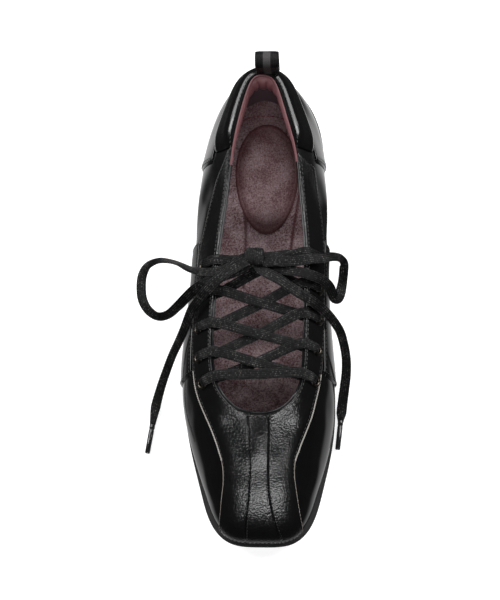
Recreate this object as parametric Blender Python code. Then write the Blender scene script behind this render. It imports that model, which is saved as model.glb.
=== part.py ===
"""A right shoe: a low, black, square-toed lace-up with an open throat and a flat lace tied in a bow.

Metres, +Z up, standing on the floor at z = 0. The toe points to -Y, the heel to +Y and the inner side of the
foot to +X. The upper is one surface, upper_face(place, rise). The place runs round the shoe and counts the
rows of LAST: 0 at the back of the heel, then down the outer side to the middle of the toe, and back up the
inner side. The rise is 0 at the lasted edge, where the upper meets the outsole, and 1 at the topline. Panels,
eyelets and laces are set out on that surface.
"""

import math
from typing import NamedTuple

import bmesh
import bpy
import numpy as np
from mathutils import Matrix, Vector

# Driving sizes of the shoe
LENGTH = 0.258
BALL_WIDTH = 0.080
INSTEP_HEIGHT = 0.056
HEEL_HEIGHT = 0.017
AXIS = 0.0025  # from the middle of the shoe's width to the line from heel to toe

# Thicknesses
WALL = 0.0020
PANEL = 0.0010
COLLAR_PAD = 0.0024
INSOLE = 0.0035
INSOLE_CLEAR = 0.0005  # round the insole's edge, inside the upper's wall
GAP = 0.00035

# Steps that the surfaces are divided into
LINES_PER_ROW = 2.5
RISES = 10
VAMP_RISES = 9
PATCH_RISES = 5
LEAST_SPAN = 0.05  # of a row, between a panel's end and its next line
SLOPE_STEP = 1e-3  # of a row or a rise, where a slope is measured
SHARP_ANGLE = math.radians(35)


class LastRow(NamedTuple):
    """A section of the last: where its wall starts at the outsole and ends at the topline, and its curve."""

    name: str
    along: float  # lasted edge, percent of the length from the heel
    lateral: float  # lasted edge, percent of the ball width to the outer side
    medial: float
    top_along: float  # topline, in the same measures
    top_lateral: float
    top_medial: float
    height: float  # topline above the floor, percent of the instep height
    lean: float  # degrees that the wall leans out where it starts
    rise: float  # reach of that lean, percent of the instep height
    crown: float  # degrees that the wall still climbs where it ends
    sweep: float  # reach of that climb, percent of the instep height
    flange: float  # outsole beyond the lasted edge, percent of the ball width


LAST = (
    LastRow("heel_back", 1.8, 0.0, 0.0, 5.6, 0.0, 0.0, 121.4, 9, 39, 82, 29, 5.8),
    LastRow("heel_turn", 3.8, 16.9, 16.9, 6.6, 7.0, 7.5, 120.7, 9, 39, 80, 29, 5.3),
    LastRow("heel_curve", 7.4, 27.0, 27.0, 9.9, 11.5, 12.3, 118.9, 10, 38, 78, 29, 4.6),
    LastRow("heel_side", 12.8, 34.1, 34.0, 14.7, 15.8, 17.0, 116.1, 13, 36, 74, 29, 3.8),
    LastRow("collar_end", 20.2, 39.3, 37.5, 20.9, 19.9, 22.5, 110.4, 18, 34, 66, 29, 2.5),
    LastRow("waist_back", 29.5, 42.3, 38.8, 29.5, 22.8, 25.5, 104.6, 24, 32, 58, 29, 1.3),
    LastRow("waist", 39.5, 43.8, 38.3, 39.1, 26.9, 28.5, 101.8, 25, 31, 50, 27, 1.0),
    LastRow("instep", 50.4, 47.0, 39.5, 49.6, 30.0, 29.0, 100.0, 25, 29, 44, 25, 1.0),
    LastRow("joint", 61.2, 51.3, 43.5, 59.7, 31.5, 28.4, 96.8, 24, 27, 38, 25, 1.3),
    LastRow("ball", 70.5, 51.6, 46.3, 67.1, 30.0, 27.1, 92.7, 21, 25, 32, 29, 1.5),
    LastRow("ball_front", 79.5, 46.6, 43.8, 71.1, 24.3, 22.5, 88.2, 17, 23, 26, 36, 1.9),
    LastRow("toe_side", 88.4, 38.3, 36.9, 73.4, 16.6, 15.0, 85.4, 12, 23, 22, 48, 2.8),
    LastRow("toe_corner", 95.3, 29.8, 29.1, 74.3, 10.0, 8.8, 83.9, 8, 25, 18, 61, 3.3),
    LastRow("toe_edge", 98.3, 19.4, 19.4, 74.6, 5.0, 4.5, 83.2, 6, 27, 16, 68, 3.3),
    LastRow("toe_middle", 99.0, 0.0, 0.0, 74.7, 0.0, 0.0, 83.0, 5, 27, 15, 71, 3.3),
)
TOE = len(LAST) - 1
ROUND = 2 * TOE
CHORD_POWER = 0.75  # spacing of the spline's knots, between even and by distance


class SoleRow(NamedTuple):
    """Heights of the outsole's two faces, in percent of the heel height."""

    along: float
    top: float
    bottom: float


SOLE = (
    SoleRow(0, 103, 9),
    SoleRow(4, 103, 0),
    SoleRow(14, 100, 0),
    SoleRow(29, 88, 0),
    SoleRow(42, 67, 13),
    SoleRow(55, 53, 0),
    SoleRow(70, 51, 0),
    SoleRow(79, 54, 0),
    SoleRow(90, 66, 14),
    SoleRow(100, 85, 42),
)


class SideRow(NamedTuple):
    """A ring of the outsole's side: its inset from the edge, and its share of the way up to the top face."""

    inset: float
    climb: float


SOLE_SIDE = (
    SideRow(0.0026, 0.00),
    SideRow(0.0012, 0.10),
    SideRow(0.0008, 0.62),
    SideRow(0.0000, 0.68),
    SideRow(0.0000, 0.94),
    SideRow(0.0007, 1.00),
)

# Grooves of the bottom, each a chevron that points to the toe, in percent of the length
HEEL_GROOVES = (8, 13, 18, 23)
BALL_GROOVES = (58, 62, 66, 70, 74)
GROOVE_WIDTH = 0.0030
GROOVE_DEPTH = 0.0016
GROOVE_MARGIN = 0.0080
GROOVE_POINT = 0.0060
EDGE_SAMPLES = 200


class EdgeRow(NamedTuple):
    """The vamp panel's edge seen from above: percent of the length, and of the ball width to each side."""

    along: float
    lateral: float
    medial: float


VAMP_EDGE = (
    EdgeRow(20.5, 22.0, 31.3),
    EdgeRow(26.0, 29.0, 34.4),
    EdgeRow(36.0, 37.3, 38.2),
    EdgeRow(42.0, 42.0, 39.2),
    EdgeRow(54.5, 44.1, 39.8),
    EdgeRow(60.0, 45.0, 40.0),
    EdgeRow(65.0, 43.8, 38.6),
    EdgeRow(70.0, 41.0, 36.2),
    EdgeRow(74.0, 36.2, 32.8),
    EdgeRow(78.0, 30.6, 28.6),
    EdgeRow(82.0, 26.0, 23.2),
    EdgeRow(84.5, 23.6, 20.9),
    EdgeRow(88.0, 23.5, 21.3),
    EdgeRow(92.0, 24.9, 22.9),
    EdgeRow(96.5, 26.5, 26.3),
    EdgeRow(104.0, 26.0, 26.0),
)
VAMP_ENDS = 3.6  # place where the sheet that the panel is cut from stops, short of the heel
VAMP_SHEET = ((0, 0.42), (11, 0.42), (12.2, 0.03), (TOE, 0.03))  # its lowest rise by place


class PatchRow(NamedTuple):
    """A panel between two places and two rises, which may differ at its two ends, and its thickness."""

    name: str
    start: float
    end: float
    low: float
    high_start: float
    high_end: float
    thickness: float
    edge: float  # share of the thickness left at the rim


PATCHES = (
    PatchRow("saddle_lateral", 5.85, 8.60, 0.04, 0.57, 0.64, PANEL, 1.0),
    PatchRow("saddle_medial", ROUND - 8.60, ROUND - 5.85, 0.04, 0.66, 0.57, PANEL, 1.0),
    PatchRow("heel_counter", -4.15, 4.15, 0.04, 0.58, 0.58, PANEL, 1.0),
    PatchRow("heel_collar", -3.75, 3.75, 0.61, 1.00, 1.00, COLLAR_PAD, 0.4),
)
PAD_TAPER = 0.8  # rows over which padding thins towards a panel's ends

# Oval cushion on the insole
PAD_CENTRE = (0.2230, 0.0003)  # share of the length, and distance to the inner side
PAD_HALF_LENGTH = 0.0308
PAD_HALF_WIDTH = 0.0165
PAD_RINGS = ((1.0, 0.0), (1.0, 0.0006), (0.9, 0.0012), (0.5, 0.0016))
PAD_SEGMENTS = 28

# Webbing loop at the back of the collar
LOOP_WIDTH = 0.0134
LOOP_HEIGHT = 0.0215
LOOP_RADIUS = 0.0046
LOOP_THICKNESS = 0.0011
LOOP_FOOT = 0.0015
LOOP_LEAN = math.radians(19)
LOOP_PLACE = ROUND - 0.3  # a little to the inner side
LOOP_SEAT = 0.0012  # its foot over the topline
LOOP_ARC_STEPS = 8


class EyeletRow(NamedTuple):
    """A pair of eyelets: place and rise on each side, counted from the heel on both."""

    lateral: float
    lateral_rise: float
    medial: float
    medial_rise: float


EYELETS = (
    EyeletRow(9.05, 0.83, 8.95, 0.82),
    EyeletRow(8.35, 0.80, 8.15, 0.80),
    EyeletRow(7.70, 0.77, 7.50, 0.77),
    EyeletRow(7.05, 0.75, 6.90, 0.76),
    EyeletRow(6.45, 0.75, 6.30, 0.79),
)
EYELET_FLANGE = 0.0034
EYELET_BARREL = 0.0020
EYELET_HOLE = 0.0016
EYELET_RISE = 0.0006
EYELET_BEVEL = 0.0006
EYELET_LIP = 0.0006  # barrel past the upper's inner face
EYELET_SEGMENTS = 10
EYELET_DEPTH = PANEL + GAP + WALL + EYELET_LIP
CUT_RADIUS = EYELET_BARREL + GAP
CUT_DEPTH = 6 * EYELET_DEPTH
CUT_SIDES = 8

# Flat lace over the throat
LACE_WIDTH = 0.0055
LACE_THICKNESS = 0.0012
LACE_TUCK = 0.0036  # depth under the topline where a crossing comes up
LACE_OVER_IN = 0.0015  # where it passes over the topline, towards the throat
LACE_OVER_UP = 0.0008
STRIP_STEPS = 3
KNOT_BAR_RISE = 0.0038  # of the bar's middle, up to the knot

# The bow, as plain round cord of about the same section as the flat lace
CORD_RADIUS = 0.0013
CORD_RESOLUTION = 2
CORD_STEP = 0.0075
CURVE_STEPS = 12
AGLET_RADIUS = 0.0015
AGLET_LENGTH = 0.0160
AGLET_SIDES = 10
KNOT_SIZE = (0.0108, 0.0098, 0.0064)
KNOT_ROUND = 0.0022
MM = 0.001


class RoutePoint(NamedTuple):
    """A point of the bow in millimetres: along from the heel, across to the inner side, and height."""

    along: float
    across: float
    height: float


KNOT = RoutePoint(112.8, -3.4, 61.4)
ROUTES = {
    "lace_loop_lateral": (
        RoutePoint(113.6, -9.7, 61.2),
        RoutePoint(118.5, -16.0, 61.6),
        RoutePoint(120.5, -23.5, 60.8),
        RoutePoint(119.5, -31.0, 57.5),
        RoutePoint(117.0, -37.5, 53.0),
        RoutePoint(113.0, -43.5, 48.0),
        RoutePoint(110.0, -49.5, 42.5),
        RoutePoint(108.5, -56.0, 37.5),
        RoutePoint(110.0, -62.0, 32.5),
        RoutePoint(114.0, -64.8, 29.8),
        RoutePoint(120.0, -65.6, 28.0),
        RoutePoint(127.0, -64.8, 27.0),
        RoutePoint(133.0, -61.5, 27.5),
        RoutePoint(137.0, -56.0, 30.0),
        RoutePoint(137.0, -50.5, 34.0),
        RoutePoint(134.0, -45.0, 39.5),
        RoutePoint(130.5, -39.5, 46.5),
        RoutePoint(128.0, -35.0, 52.6),
        RoutePoint(126.0, -29.5, 58.2),
        RoutePoint(124.0, -23.0, 60.4),
        RoutePoint(121.5, -16.0, 60.2),
        RoutePoint(118.8, -9.9, 60.0),
    ),
    "lace_end_lateral": (
        RoutePoint(116.4, -9.3, 63.5),
        RoutePoint(119.0, -12.5, 65.4),
        RoutePoint(121.5, -16.5, 65.8),
        RoutePoint(124.5, -20.5, 65.2),
        RoutePoint(128.0, -25.0, 63.5),
        RoutePoint(131.5, -29.0, 60.5),
        RoutePoint(135.0, -32.5, 56.0),
        RoutePoint(138.0, -36.0, 51.0),
        RoutePoint(141.5, -38.5, 45.0),
        RoutePoint(145.5, -41.0, 38.0),
        RoutePoint(150.0, -44.0, 31.5),
        RoutePoint(156.5, -48.5, 22.5),
        RoutePoint(164.0, -52.5, 14.0),
        RoutePoint(172.0, -56.0, 7.2),
        RoutePoint(181.0, -58.7, 3.2),
        RoutePoint(191.4, -60.4, 1.9),
    ),
    "lace_loop_medial": (
        RoutePoint(115.5, 2.5, 62.8),
        RoutePoint(115.5, 8.0, 63.2),
        RoutePoint(115.5, 14.0, 63.2),
        RoutePoint(115.0, 20.0, 62.6),
        RoutePoint(113.5, 26.5, 60.6),
        RoutePoint(112.0, 32.5, 57.0),
        RoutePoint(110.0, 37.5, 52.0),
        RoutePoint(109.5, 41.0, 47.0),
        RoutePoint(111.0, 43.0, 42.6),
        RoutePoint(114.5, 43.0, 39.0),
        RoutePoint(118.5, 42.5, 36.3),
        RoutePoint(122.5, 41.8, 34.8),
        RoutePoint(126.0, 41.0, 34.5),
        RoutePoint(129.0, 39.8, 36.5),
        RoutePoint(129.5, 38.3, 40.0),
        RoutePoint(127.5, 37.0, 43.5),
        RoutePoint(125.0, 35.3, 48.8),
        RoutePoint(123.5, 32.0, 55.4),
        RoutePoint(122.5, 27.0, 60.2),
        RoutePoint(121.0, 21.0, 61.8),
        RoutePoint(120.0, 15.0, 61.6),
        RoutePoint(119.0, 9.0, 60.6),
        RoutePoint(118.0, 2.5, 60.0),
    ),
    "lace_end_medial": (
        RoutePoint(119.2, 0.0, 61.6),
        RoutePoint(122.5, 5.0, 62.8),
        RoutePoint(126.0, 11.0, 63.4),
        RoutePoint(130.0, 16.5, 63.2),
        RoutePoint(133.0, 21.5, 61.8),
        RoutePoint(135.5, 26.5, 59.0),
        RoutePoint(138.0, 31.0, 54.5),
        RoutePoint(140.5, 35.0, 48.8),
        RoutePoint(143.5, 38.5, 42.5),
        RoutePoint(147.0, 41.2, 37.0),
        RoutePoint(152.0, 43.0, 31.0),
        RoutePoint(158.0, 44.2, 24.5),
        RoutePoint(165.0, 44.2, 17.0),
        RoutePoint(172.0, 43.2, 10.8),
        RoutePoint(178.5, 42.2, 6.0),
        RoutePoint(184.0, 41.5, 3.0),
        RoutePoint(189.0, 41.0, 1.9),
    ),
}

BLACK_LEATHER = ((0.012, 0.012, 0.013, 1), 0.25, 0.0)
BLACK_RUBBER = ((0.010, 0.010, 0.010, 1), 0.7, 0.0)
BLACK_LACE = ((0.016, 0.016, 0.017, 1), 0.6, 0.0)
BURGUNDY = ((0.16, 0.055, 0.06, 1), 0.8, 0.0)
BLACK_METAL = ((0.03, 0.028, 0.026, 1), 0.35, 1.0)


def spot(along, across, height):
    """The world place of a point along from the heel, across to the inner side, and above the floor."""
    along, across, height = np.broadcast_arrays(along, across, height)
    return np.stack([AXIS + across, LENGTH / 2 - along, height], axis=-1)


def round_the_shoe():
    """The last's sections as a closed ring of rows in metres and radians, the outer side first."""
    wide, high, turn = BALL_WIDTH / 100, INSTEP_HEIGHT / 100, math.pi / 180
    ring = []
    for index in range(ROUND):
        row = LAST[min(index, ROUND - index)]
        inner = index > TOE
        ring.append((
            row.along * LENGTH / 100,
            (row.medial if inner else -row.lateral) * wide,
            row.top_along * LENGTH / 100,
            (row.top_medial if inner else -row.top_lateral) * wide,
            row.height * high,
            row.lean * turn,
            row.rise * high,
            row.crown * turn,
            row.sweep * high,
            row.flange * wide,
        ))
    return np.array(ring)


def spline_of(ring):
    """Knots and second derivatives of the closed cubic spline through the rows."""
    edge = np.vstack([ring[:, :2], ring[:1, :2]])
    step = np.linalg.norm(np.diff(edge, axis=0), axis=1) ** CHORD_POWER
    knots = np.concatenate([[0.0], np.cumsum(step)])
    slope = (np.roll(ring, -1, axis=0) - ring) / step[:, None]
    system = np.zeros((ROUND, ROUND))
    for i in range(ROUND):
        before, after = (i - 1) % ROUND, (i + 1) % ROUND
        system[i, before] = step[before]
        system[i, i] = 2 * (step[before] + step[i])
        system[i, after] = step[i]
    bend = np.linalg.solve(system, 6 * (slope - np.roll(slope, 1, axis=0)))
    return knots, bend


RING = round_the_shoe()
KNOTS, BEND = spline_of(RING)


def section(place):
    """The last's section at any place round the shoe, as its columns in the last axis."""
    place = np.mod(np.asarray(place, float), ROUND)
    i = np.minimum(place.astype(int), ROUND - 1)
    j = (i + 1) % ROUND
    step = (KNOTS[i + 1] - KNOTS[i])[..., None]
    t = (place - i)[..., None] * step
    u = step - t
    curve = (BEND[i] * u**3 + BEND[j] * t**3) / (6 * step)
    return curve + (RING[i] / step - BEND[i] * step / 6) * u + (RING[j] / step - BEND[j] * step / 6) * t


def sole_height(along, column):
    """Height of the outsole's top or bottom face, a monotone cubic through the rows of SOLE."""
    x = np.array([row.along for row in SOLE]) * LENGTH / 100
    y = np.array([getattr(row, column) for row in SOLE]) * HEEL_HEIGHT / 100
    rate = np.diff(y) / np.diff(x)
    tangent = np.zeros(len(x))
    for k in range(1, len(x) - 1):
        if rate[k - 1] * rate[k] > 0:
            tangent[k] = 2 * rate[k - 1] * rate[k] / (rate[k - 1] + rate[k])
    tangent[0], tangent[-1] = rate[0], rate[-1]
    along = np.clip(along, x[0], x[-1])
    i = np.clip(np.searchsorted(x, along, side="right") - 1, 0, len(x) - 2)
    h = x[i + 1] - x[i]
    t = (along - x[i]) / h
    ends = (1 + 2 * t) * (1 - t) ** 2 * y[i] + t**2 * (3 - 2 * t) * y[i + 1]
    return ends + h * t * (1 - t) * ((1 - t) * tangent[i] - t * tangent[i + 1])


def upper_face(place, rise):
    """Points of the upper's outer face: a cubic curve from the lasted edge to the topline in each section."""
    place, rise = np.broadcast_arrays(np.asarray(place, float), np.asarray(rise, float))
    row = section(place)
    start, end = row[..., 0:2], row[..., 2:4]
    top, lean, reach, crown, sweep = np.moveaxis(row[..., 4:9], -1, 0)
    run = np.linalg.norm(end - start, axis=-1)
    base = sole_height(row[..., 0], "top") + GAP
    away = (0 * run, -reach * np.sin(lean), run - sweep * np.cos(crown), run)
    height = (base, base + reach * np.cos(lean), top - sweep * np.sin(crown), top)
    share = ((1 - rise) ** 3, 3 * rise * (1 - rise) ** 2, 3 * rise**2 * (1 - rise), rise**3)
    distance = sum(s * a for s, a in zip(share, away)) / run
    level = sum(s * h for s, h in zip(share, height))
    plan = start + (end - start) * distance[..., None]
    return spot(plan[..., 0], plan[..., 1], level)


def upper_normal(place, rise):
    """Outward unit normals of the upper's face."""
    behind, ahead = np.subtract(place, SLOPE_STEP), np.add(place, SLOPE_STEP)
    below, above = np.subtract(rise, SLOPE_STEP), np.add(rise, SLOPE_STEP)
    round_way = upper_face(ahead, rise) - upper_face(behind, rise)
    up_way = upper_face(place, above) - upper_face(place, below)
    normal = np.cross(round_way, up_way)
    return normal / np.linalg.norm(normal, axis=-1, keepdims=True)


def over_upper(place, rise, height):
    """Points at a height over the upper's face."""
    return upper_face(place, rise) + upper_normal(place, rise) * np.asarray(height)[..., None]


def sole_edge(place, outward):
    """Plan points, along and across, outside the lasted edge by a distance."""
    here = section(place)
    way = (section(np.add(place, SLOPE_STEP)) - section(np.subtract(place, SLOPE_STEP)))[..., :2]
    way /= np.linalg.norm(way, axis=-1, keepdims=True)
    across = np.stack([way[..., 1], -way[..., 0]], axis=-1)
    return here[..., :2] + across * np.asarray(outward)[..., None]


def lines(start=0.0, end=None):
    """Places of the lines that divide the upper: all round, or from a start to an end with both included."""
    if end is None:
        return np.arange(round(ROUND * LINES_PER_ROW)) / LINES_PER_ROW
    first, last = math.floor(start * LINES_PER_ROW) + 1, math.ceil(end * LINES_PER_ROW) - 1
    between = np.arange(first, last + 1) / LINES_PER_ROW
    clear = between[(between > start + LEAST_SPAN) & (between < end - LEAST_SPAN)]
    return np.concatenate([[start], clear, [end]])


def material_of(name, look):
    """A plain material with a colour, a roughness and a metallic value."""
    colour, rough, metal = look
    material = bpy.data.materials.new(name)
    material.use_nodes = True
    shader = material.node_tree.nodes["Principled BSDF"]
    shader.inputs["Base Color"].default_value = colour
    shader.inputs["Roughness"].default_value = rough
    shader.inputs["Metallic"].default_value = metal
    return material


def add_object(name, data, look):
    """An object of this data in the scene, under the shoe's empty."""
    obj = bpy.data.objects.new(name, data)
    data.materials.append(material_of(name, look))
    bpy.context.scene.collection.objects.link(obj)
    obj.parent = bpy.data.objects.get("shoe")
    return obj


def mesh_object(name, points, faces, look):
    """A smooth mesh object with its faces turned out."""
    mesh = bpy.data.meshes.new(name)
    mesh.from_pydata([tuple(map(float, p)) for p in points], [], [tuple(map(int, f)) for f in faces])
    shape = bmesh.new()
    shape.from_mesh(mesh)
    bmesh.ops.recalc_face_normals(shape, faces=shape.faces)
    shape.to_mesh(mesh)
    shape.free()
    mesh.shade_smooth()
    mesh.set_sharp_from_angle(angle=SHARP_ANGLE)
    return add_object(name, mesh, look)


def sheet_faces(rows, columns, closed):
    """Quads of a grid, closed or open along its rows."""
    quads = []
    for i in range(rows if closed else rows - 1):
        k = (i + 1) % rows
        for j in range(columns - 1):
            quads.append((i * columns + j, k * columns + j, k * columns + j + 1, i * columns + j + 1))
    return quads


def sheet_object(name, place, rise, height, thickness, look, closed=False):
    """A skin over the upper's face with a thickness: outward if positive, inward if negative."""
    grid = over_upper(place, rise, np.full(place.shape, height))
    faces = sheet_faces(*place.shape, closed)
    mesh = bpy.data.meshes.new(name)
    mesh.from_pydata([tuple(map(float, p)) for p in grid.reshape(-1, 3)], [], faces)
    mesh.shade_smooth()
    obj = add_object(name, mesh, look)
    skin = obj.modifiers.new("thickness", "SOLIDIFY")
    skin.thickness = abs(thickness)
    skin.offset = math.copysign(1, thickness)
    return obj


def thin_edges(obj, weights):
    """Thins a skin where its weights are under 1."""
    group = obj.vertex_groups.new(name="padding")
    for index, weight in enumerate(weights.reshape(-1)):
        group.add([index], float(weight), "REPLACE")
    obj.modifiers["thickness"].vertex_group = group.name


def cut(obj, cutter, operation="DIFFERENCE"):
    """A Boolean on the object with a hidden helper."""
    cutter.hide_render = True
    cutter.display_type = "WIRE"
    boolean = obj.modifiers.new(operation.lower(), "BOOLEAN")
    boolean.operation = operation
    boolean.object = cutter


def slab_object(name, rings, look):
    """A solid through rings from its bottom to its top, with faces straight across between its two sides."""
    count = len(rings[0])
    faces = sheet_faces(len(rings), count, False)
    for k in range(len(rings) - 1):
        faces.append(((k + 1) * count - 1, (k + 2) * count - 1, (k + 1) * count, k * count))
    for first in (0, (len(rings) - 1) * count):
        for i in range(count // 2):
            corners = (i, i + 1, count - i - 1, (count - i) % count)
            faces.append(tuple(first + c for c in dict.fromkeys(corners)))
    return mesh_object(name, np.concatenate(rings), faces, look)


def make_outsole():
    """The rubber unit: a stepped side round its outline, an arch, toe spring and chevron grooves."""
    place = lines()
    flange = section(place)[:, -1]
    rings = []
    for row in SOLE_SIDE:
        plan = sole_edge(place, flange - row.inset)
        bottom, top = sole_height(plan[:, 0], "bottom"), sole_height(plan[:, 0], "top")
        rings.append(spot(plan[:, 0], plan[:, 1], bottom + (top - bottom) * row.climb))
    outsole = slab_object("outsole", rings, BLACK_RUBBER)
    cut(outsole, groove_cutter())


def groove_cutter():
    """All the chevron grooves as one helper, each short of the outsole's edge."""
    points, faces = [], []
    for share in HEEL_GROOVES + BALL_GROOVES:
        along = share * LENGTH / 100
        outer, inner = (half_width(along, start) - GROOVE_MARGIN for start in (0, ROUND))
        first = len(points)
        for depth in (-GROOVE_DEPTH, GROOVE_DEPTH):
            for across, ahead in ((-outer, 0), (0, GROOVE_POINT), (inner, 0)):
                for side in (-GROOVE_WIDTH / 2, GROOVE_WIDTH / 2):
                    points.append(spot(along + ahead + side, across, depth))
        for left in (first, first + 2):
            faces.append((left, left + 1, left + 3, left + 2))
            faces.append((left + 6, left + 8, left + 9, left + 7))
            faces.append((left, left + 2, left + 8, left + 6))
            faces.append((left + 1, left + 7, left + 9, left + 3))
        faces.append((first, first + 6, first + 7, first + 1))
        faces.append((first + 4, first + 5, first + 11, first + 10))
    return mesh_object("grooves", points, faces, BLACK_RUBBER)


def half_width(along, start):
    """Distance from the heel-to-toe line to the lasted edge, on the side whose rows start at this place."""
    edge = section(np.linspace(start, TOE, EDGE_SAMPLES))
    return np.interp(along, edge[:, 0], np.abs(edge[:, 1]))


def insole_top(along):
    """Height of the insole's top face."""
    return sole_height(along, "top") + GAP + INSOLE


def make_insole():
    """The footbed inside the upper, and its oval cushion."""
    plan = sole_edge(lines(), np.full(len(lines()), -WALL - INSOLE_CLEAR))
    low = sole_height(plan[:, 0], "top") + GAP
    slab_object("insole", [spot(plan[:, 0], plan[:, 1], low + climb) for climb in (0, INSOLE)], BURGUNDY)
    turn = np.linspace(0, 2 * math.pi, PAD_SEGMENTS, endpoint=False)
    rings = []
    for share, climb in PAD_RINGS:
        along = PAD_CENTRE[0] * LENGTH + PAD_HALF_LENGTH * share * np.cos(turn)
        across = PAD_CENTRE[1] + PAD_HALF_WIDTH * share * np.sin(turn)
        rings.append(spot(along, across, insole_top(along) + GAP + climb))
    slab_object("heel_pad", rings, BURGUNDY)


def make_upper(holes):
    """The hollow leather wall from the lasted edge to the topline."""
    place, rise = np.meshgrid(lines(), np.linspace(0, 1, RISES), indexing="ij")
    cut(sheet_object("upper", place, rise, 0.0, -WALL, BLACK_LEATHER, closed=True), holes)


def make_vamp_panel(holes):
    """The overlay along the eyelets and down the toe, cut to its outline seen from above."""
    place = lines(VAMP_ENDS, ROUND - VAMP_ENDS)
    low = np.interp(np.minimum(place, ROUND - place), *zip(*VAMP_SHEET))
    rise = low[:, None] + (1 - low)[:, None] * np.linspace(0, 1, VAMP_RISES)
    grid = np.repeat(place[:, None], VAMP_RISES, 1)
    panel = sheet_object("vamp_panel", grid, rise, GAP, PANEL, BLACK_LEATHER)
    outer = [(row.along, -row.lateral) for row in VAMP_EDGE]
    inner = [(row.along, row.medial) for row in VAMP_EDGE[::-1]]
    plan = np.array(outer + inner) * (LENGTH / 100, BALL_WIDTH / 100)
    levels = [spot(plan[:, 0], plan[:, 1], z) for z in (0.0, 2 * INSTEP_HEIGHT)]
    cut(panel, slab_object("vamp_outline", levels, BLACK_LEATHER), "INTERSECT")
    cut(panel, holes)


def make_patches():
    """Side, counter and collar overlays, each between two places and two rises."""
    for row in PATCHES:
        place = lines(row.start, row.end)
        high = np.linspace(row.high_start, row.high_end, len(place))
        share = np.linspace(0, 1, PATCH_RISES)
        rise = row.low + (high - row.low)[:, None] * share
        grid = np.repeat(place[:, None], PATCH_RISES, 1)
        patch = sheet_object(row.name, grid, rise, GAP, row.thickness, BLACK_LEATHER)
        inside = np.minimum(place - row.start, row.end - place) / PAD_TAPER
        swell = np.clip(inside, 0, 1)[:, None] * np.sin(math.pi * share)
        thin_edges(patch, row.edge + (1 - row.edge) * swell)


def make_pull_loop():
    """A folded webbing loop that stands on the back of the topline and leans back."""
    turn = np.linspace(0, math.pi, LOOP_ARC_STEPS + 1)
    centre = LOOP_HEIGHT - LOOP_RADIUS
    outer = [(LOOP_RADIUS * math.cos(a), centre + LOOP_RADIUS * math.sin(a)) for a in turn]
    bore = LOOP_RADIUS - LOOP_THICKNESS
    inner = [(bore * math.cos(a), centre + bore * math.sin(a)) for a in turn[::-1]]
    foot = LOOP_FOOT - LOOP_THICKNESS
    profile = [(LOOP_FOOT, 0.0), *outer, (-LOOP_FOOT, 0.0), (-foot, 0.0), *inner, (foot, 0.0)]
    seat = over_upper(LOOP_PLACE, 1.0, -WALL / 2) + np.array([0, 0, LOOP_SEAT])
    points, count = [], len(profile)
    for side in (-LOOP_WIDTH / 2, LOOP_WIDTH / 2):
        for back, up in profile:
            tilted = Vector((back, up)) @ Matrix.Rotation(LOOP_LEAN, 2)
            points.append(seat + np.array([side, tilted.x, tilted.y]))
    faces = [tuple(range(count)), tuple(range(count, 2 * count))]
    faces += [(i, (i + 1) % count, count + (i + 1) % count, count + i) for i in range(count)]
    mesh_object("pull_loop", points, faces, BLACK_LACE)


def eyelet_spots():
    """Place and rise of every eyelet by side, the toe's pair first."""
    return {
        "lateral": [(row.lateral, row.lateral_rise) for row in EYELETS],
        "medial": [(ROUND - row.medial, row.medial_rise) for row in EYELETS],
    }


def frame_at(place, rise, height):
    """A matrix on the upper with its Z along the outward normal."""
    normal = Vector(upper_normal(place, rise))
    spin = Vector((0, 0, 1)).rotation_difference(normal).to_matrix().to_4x4()
    return Matrix.Translation(Vector(over_upper(place, rise, height))) @ spin


def make_eyelets():
    """Flanged metal eyelets through the panel and the upper, all of one mesh."""
    profile = [
        (EYELET_HOLE, -EYELET_DEPTH),
        (EYELET_BARREL, -EYELET_DEPTH),
        (EYELET_BARREL, 0.0),
        (EYELET_FLANGE, 0.0),
        (EYELET_FLANGE - EYELET_BEVEL, EYELET_RISE),
        (EYELET_HOLE, EYELET_RISE),
    ]
    turn = np.linspace(0, 2 * math.pi, EYELET_SEGMENTS, endpoint=False)
    points = [(r * math.cos(a), r * math.sin(a), z) for a in turn for r, z in profile]
    count = len(profile)
    faces = sheet_faces(EYELET_SEGMENTS, count, True)
    faces += [
        (i * count + count - 1, ((i + 1) % EYELET_SEGMENTS) * count + count - 1,
         ((i + 1) % EYELET_SEGMENTS) * count, i * count)
        for i in range(EYELET_SEGMENTS)
    ]
    shared = None
    for side, spots in eyelet_spots().items():
        for number, (place, rise) in enumerate(spots, 1):
            name = f"eyelet_{side}_{number}"
            shared = shared or mesh_object(name, points, faces, BLACK_METAL)
            obj = shared if shared.name == name else add_object(name, shared.data, BLACK_METAL)
            obj.matrix_world = frame_at(place, rise, 2 * GAP + PANEL)


def eyelet_holes():
    """A helper with a rod through every eyelet's place."""
    shape = bmesh.new()
    for spots in eyelet_spots().values():
        for place, rise in spots:
            bmesh.ops.create_cone(
                shape, cap_ends=True, segments=CUT_SIDES, radius1=CUT_RADIUS, radius2=CUT_RADIUS,
                depth=CUT_DEPTH, matrix=frame_at(place, rise, 0.0),
            )
    mesh = bpy.data.meshes.new("eyelet_holes")
    shape.to_mesh(mesh)
    shape.free()
    return add_object("eyelet_holes", mesh, BLACK_METAL)


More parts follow.
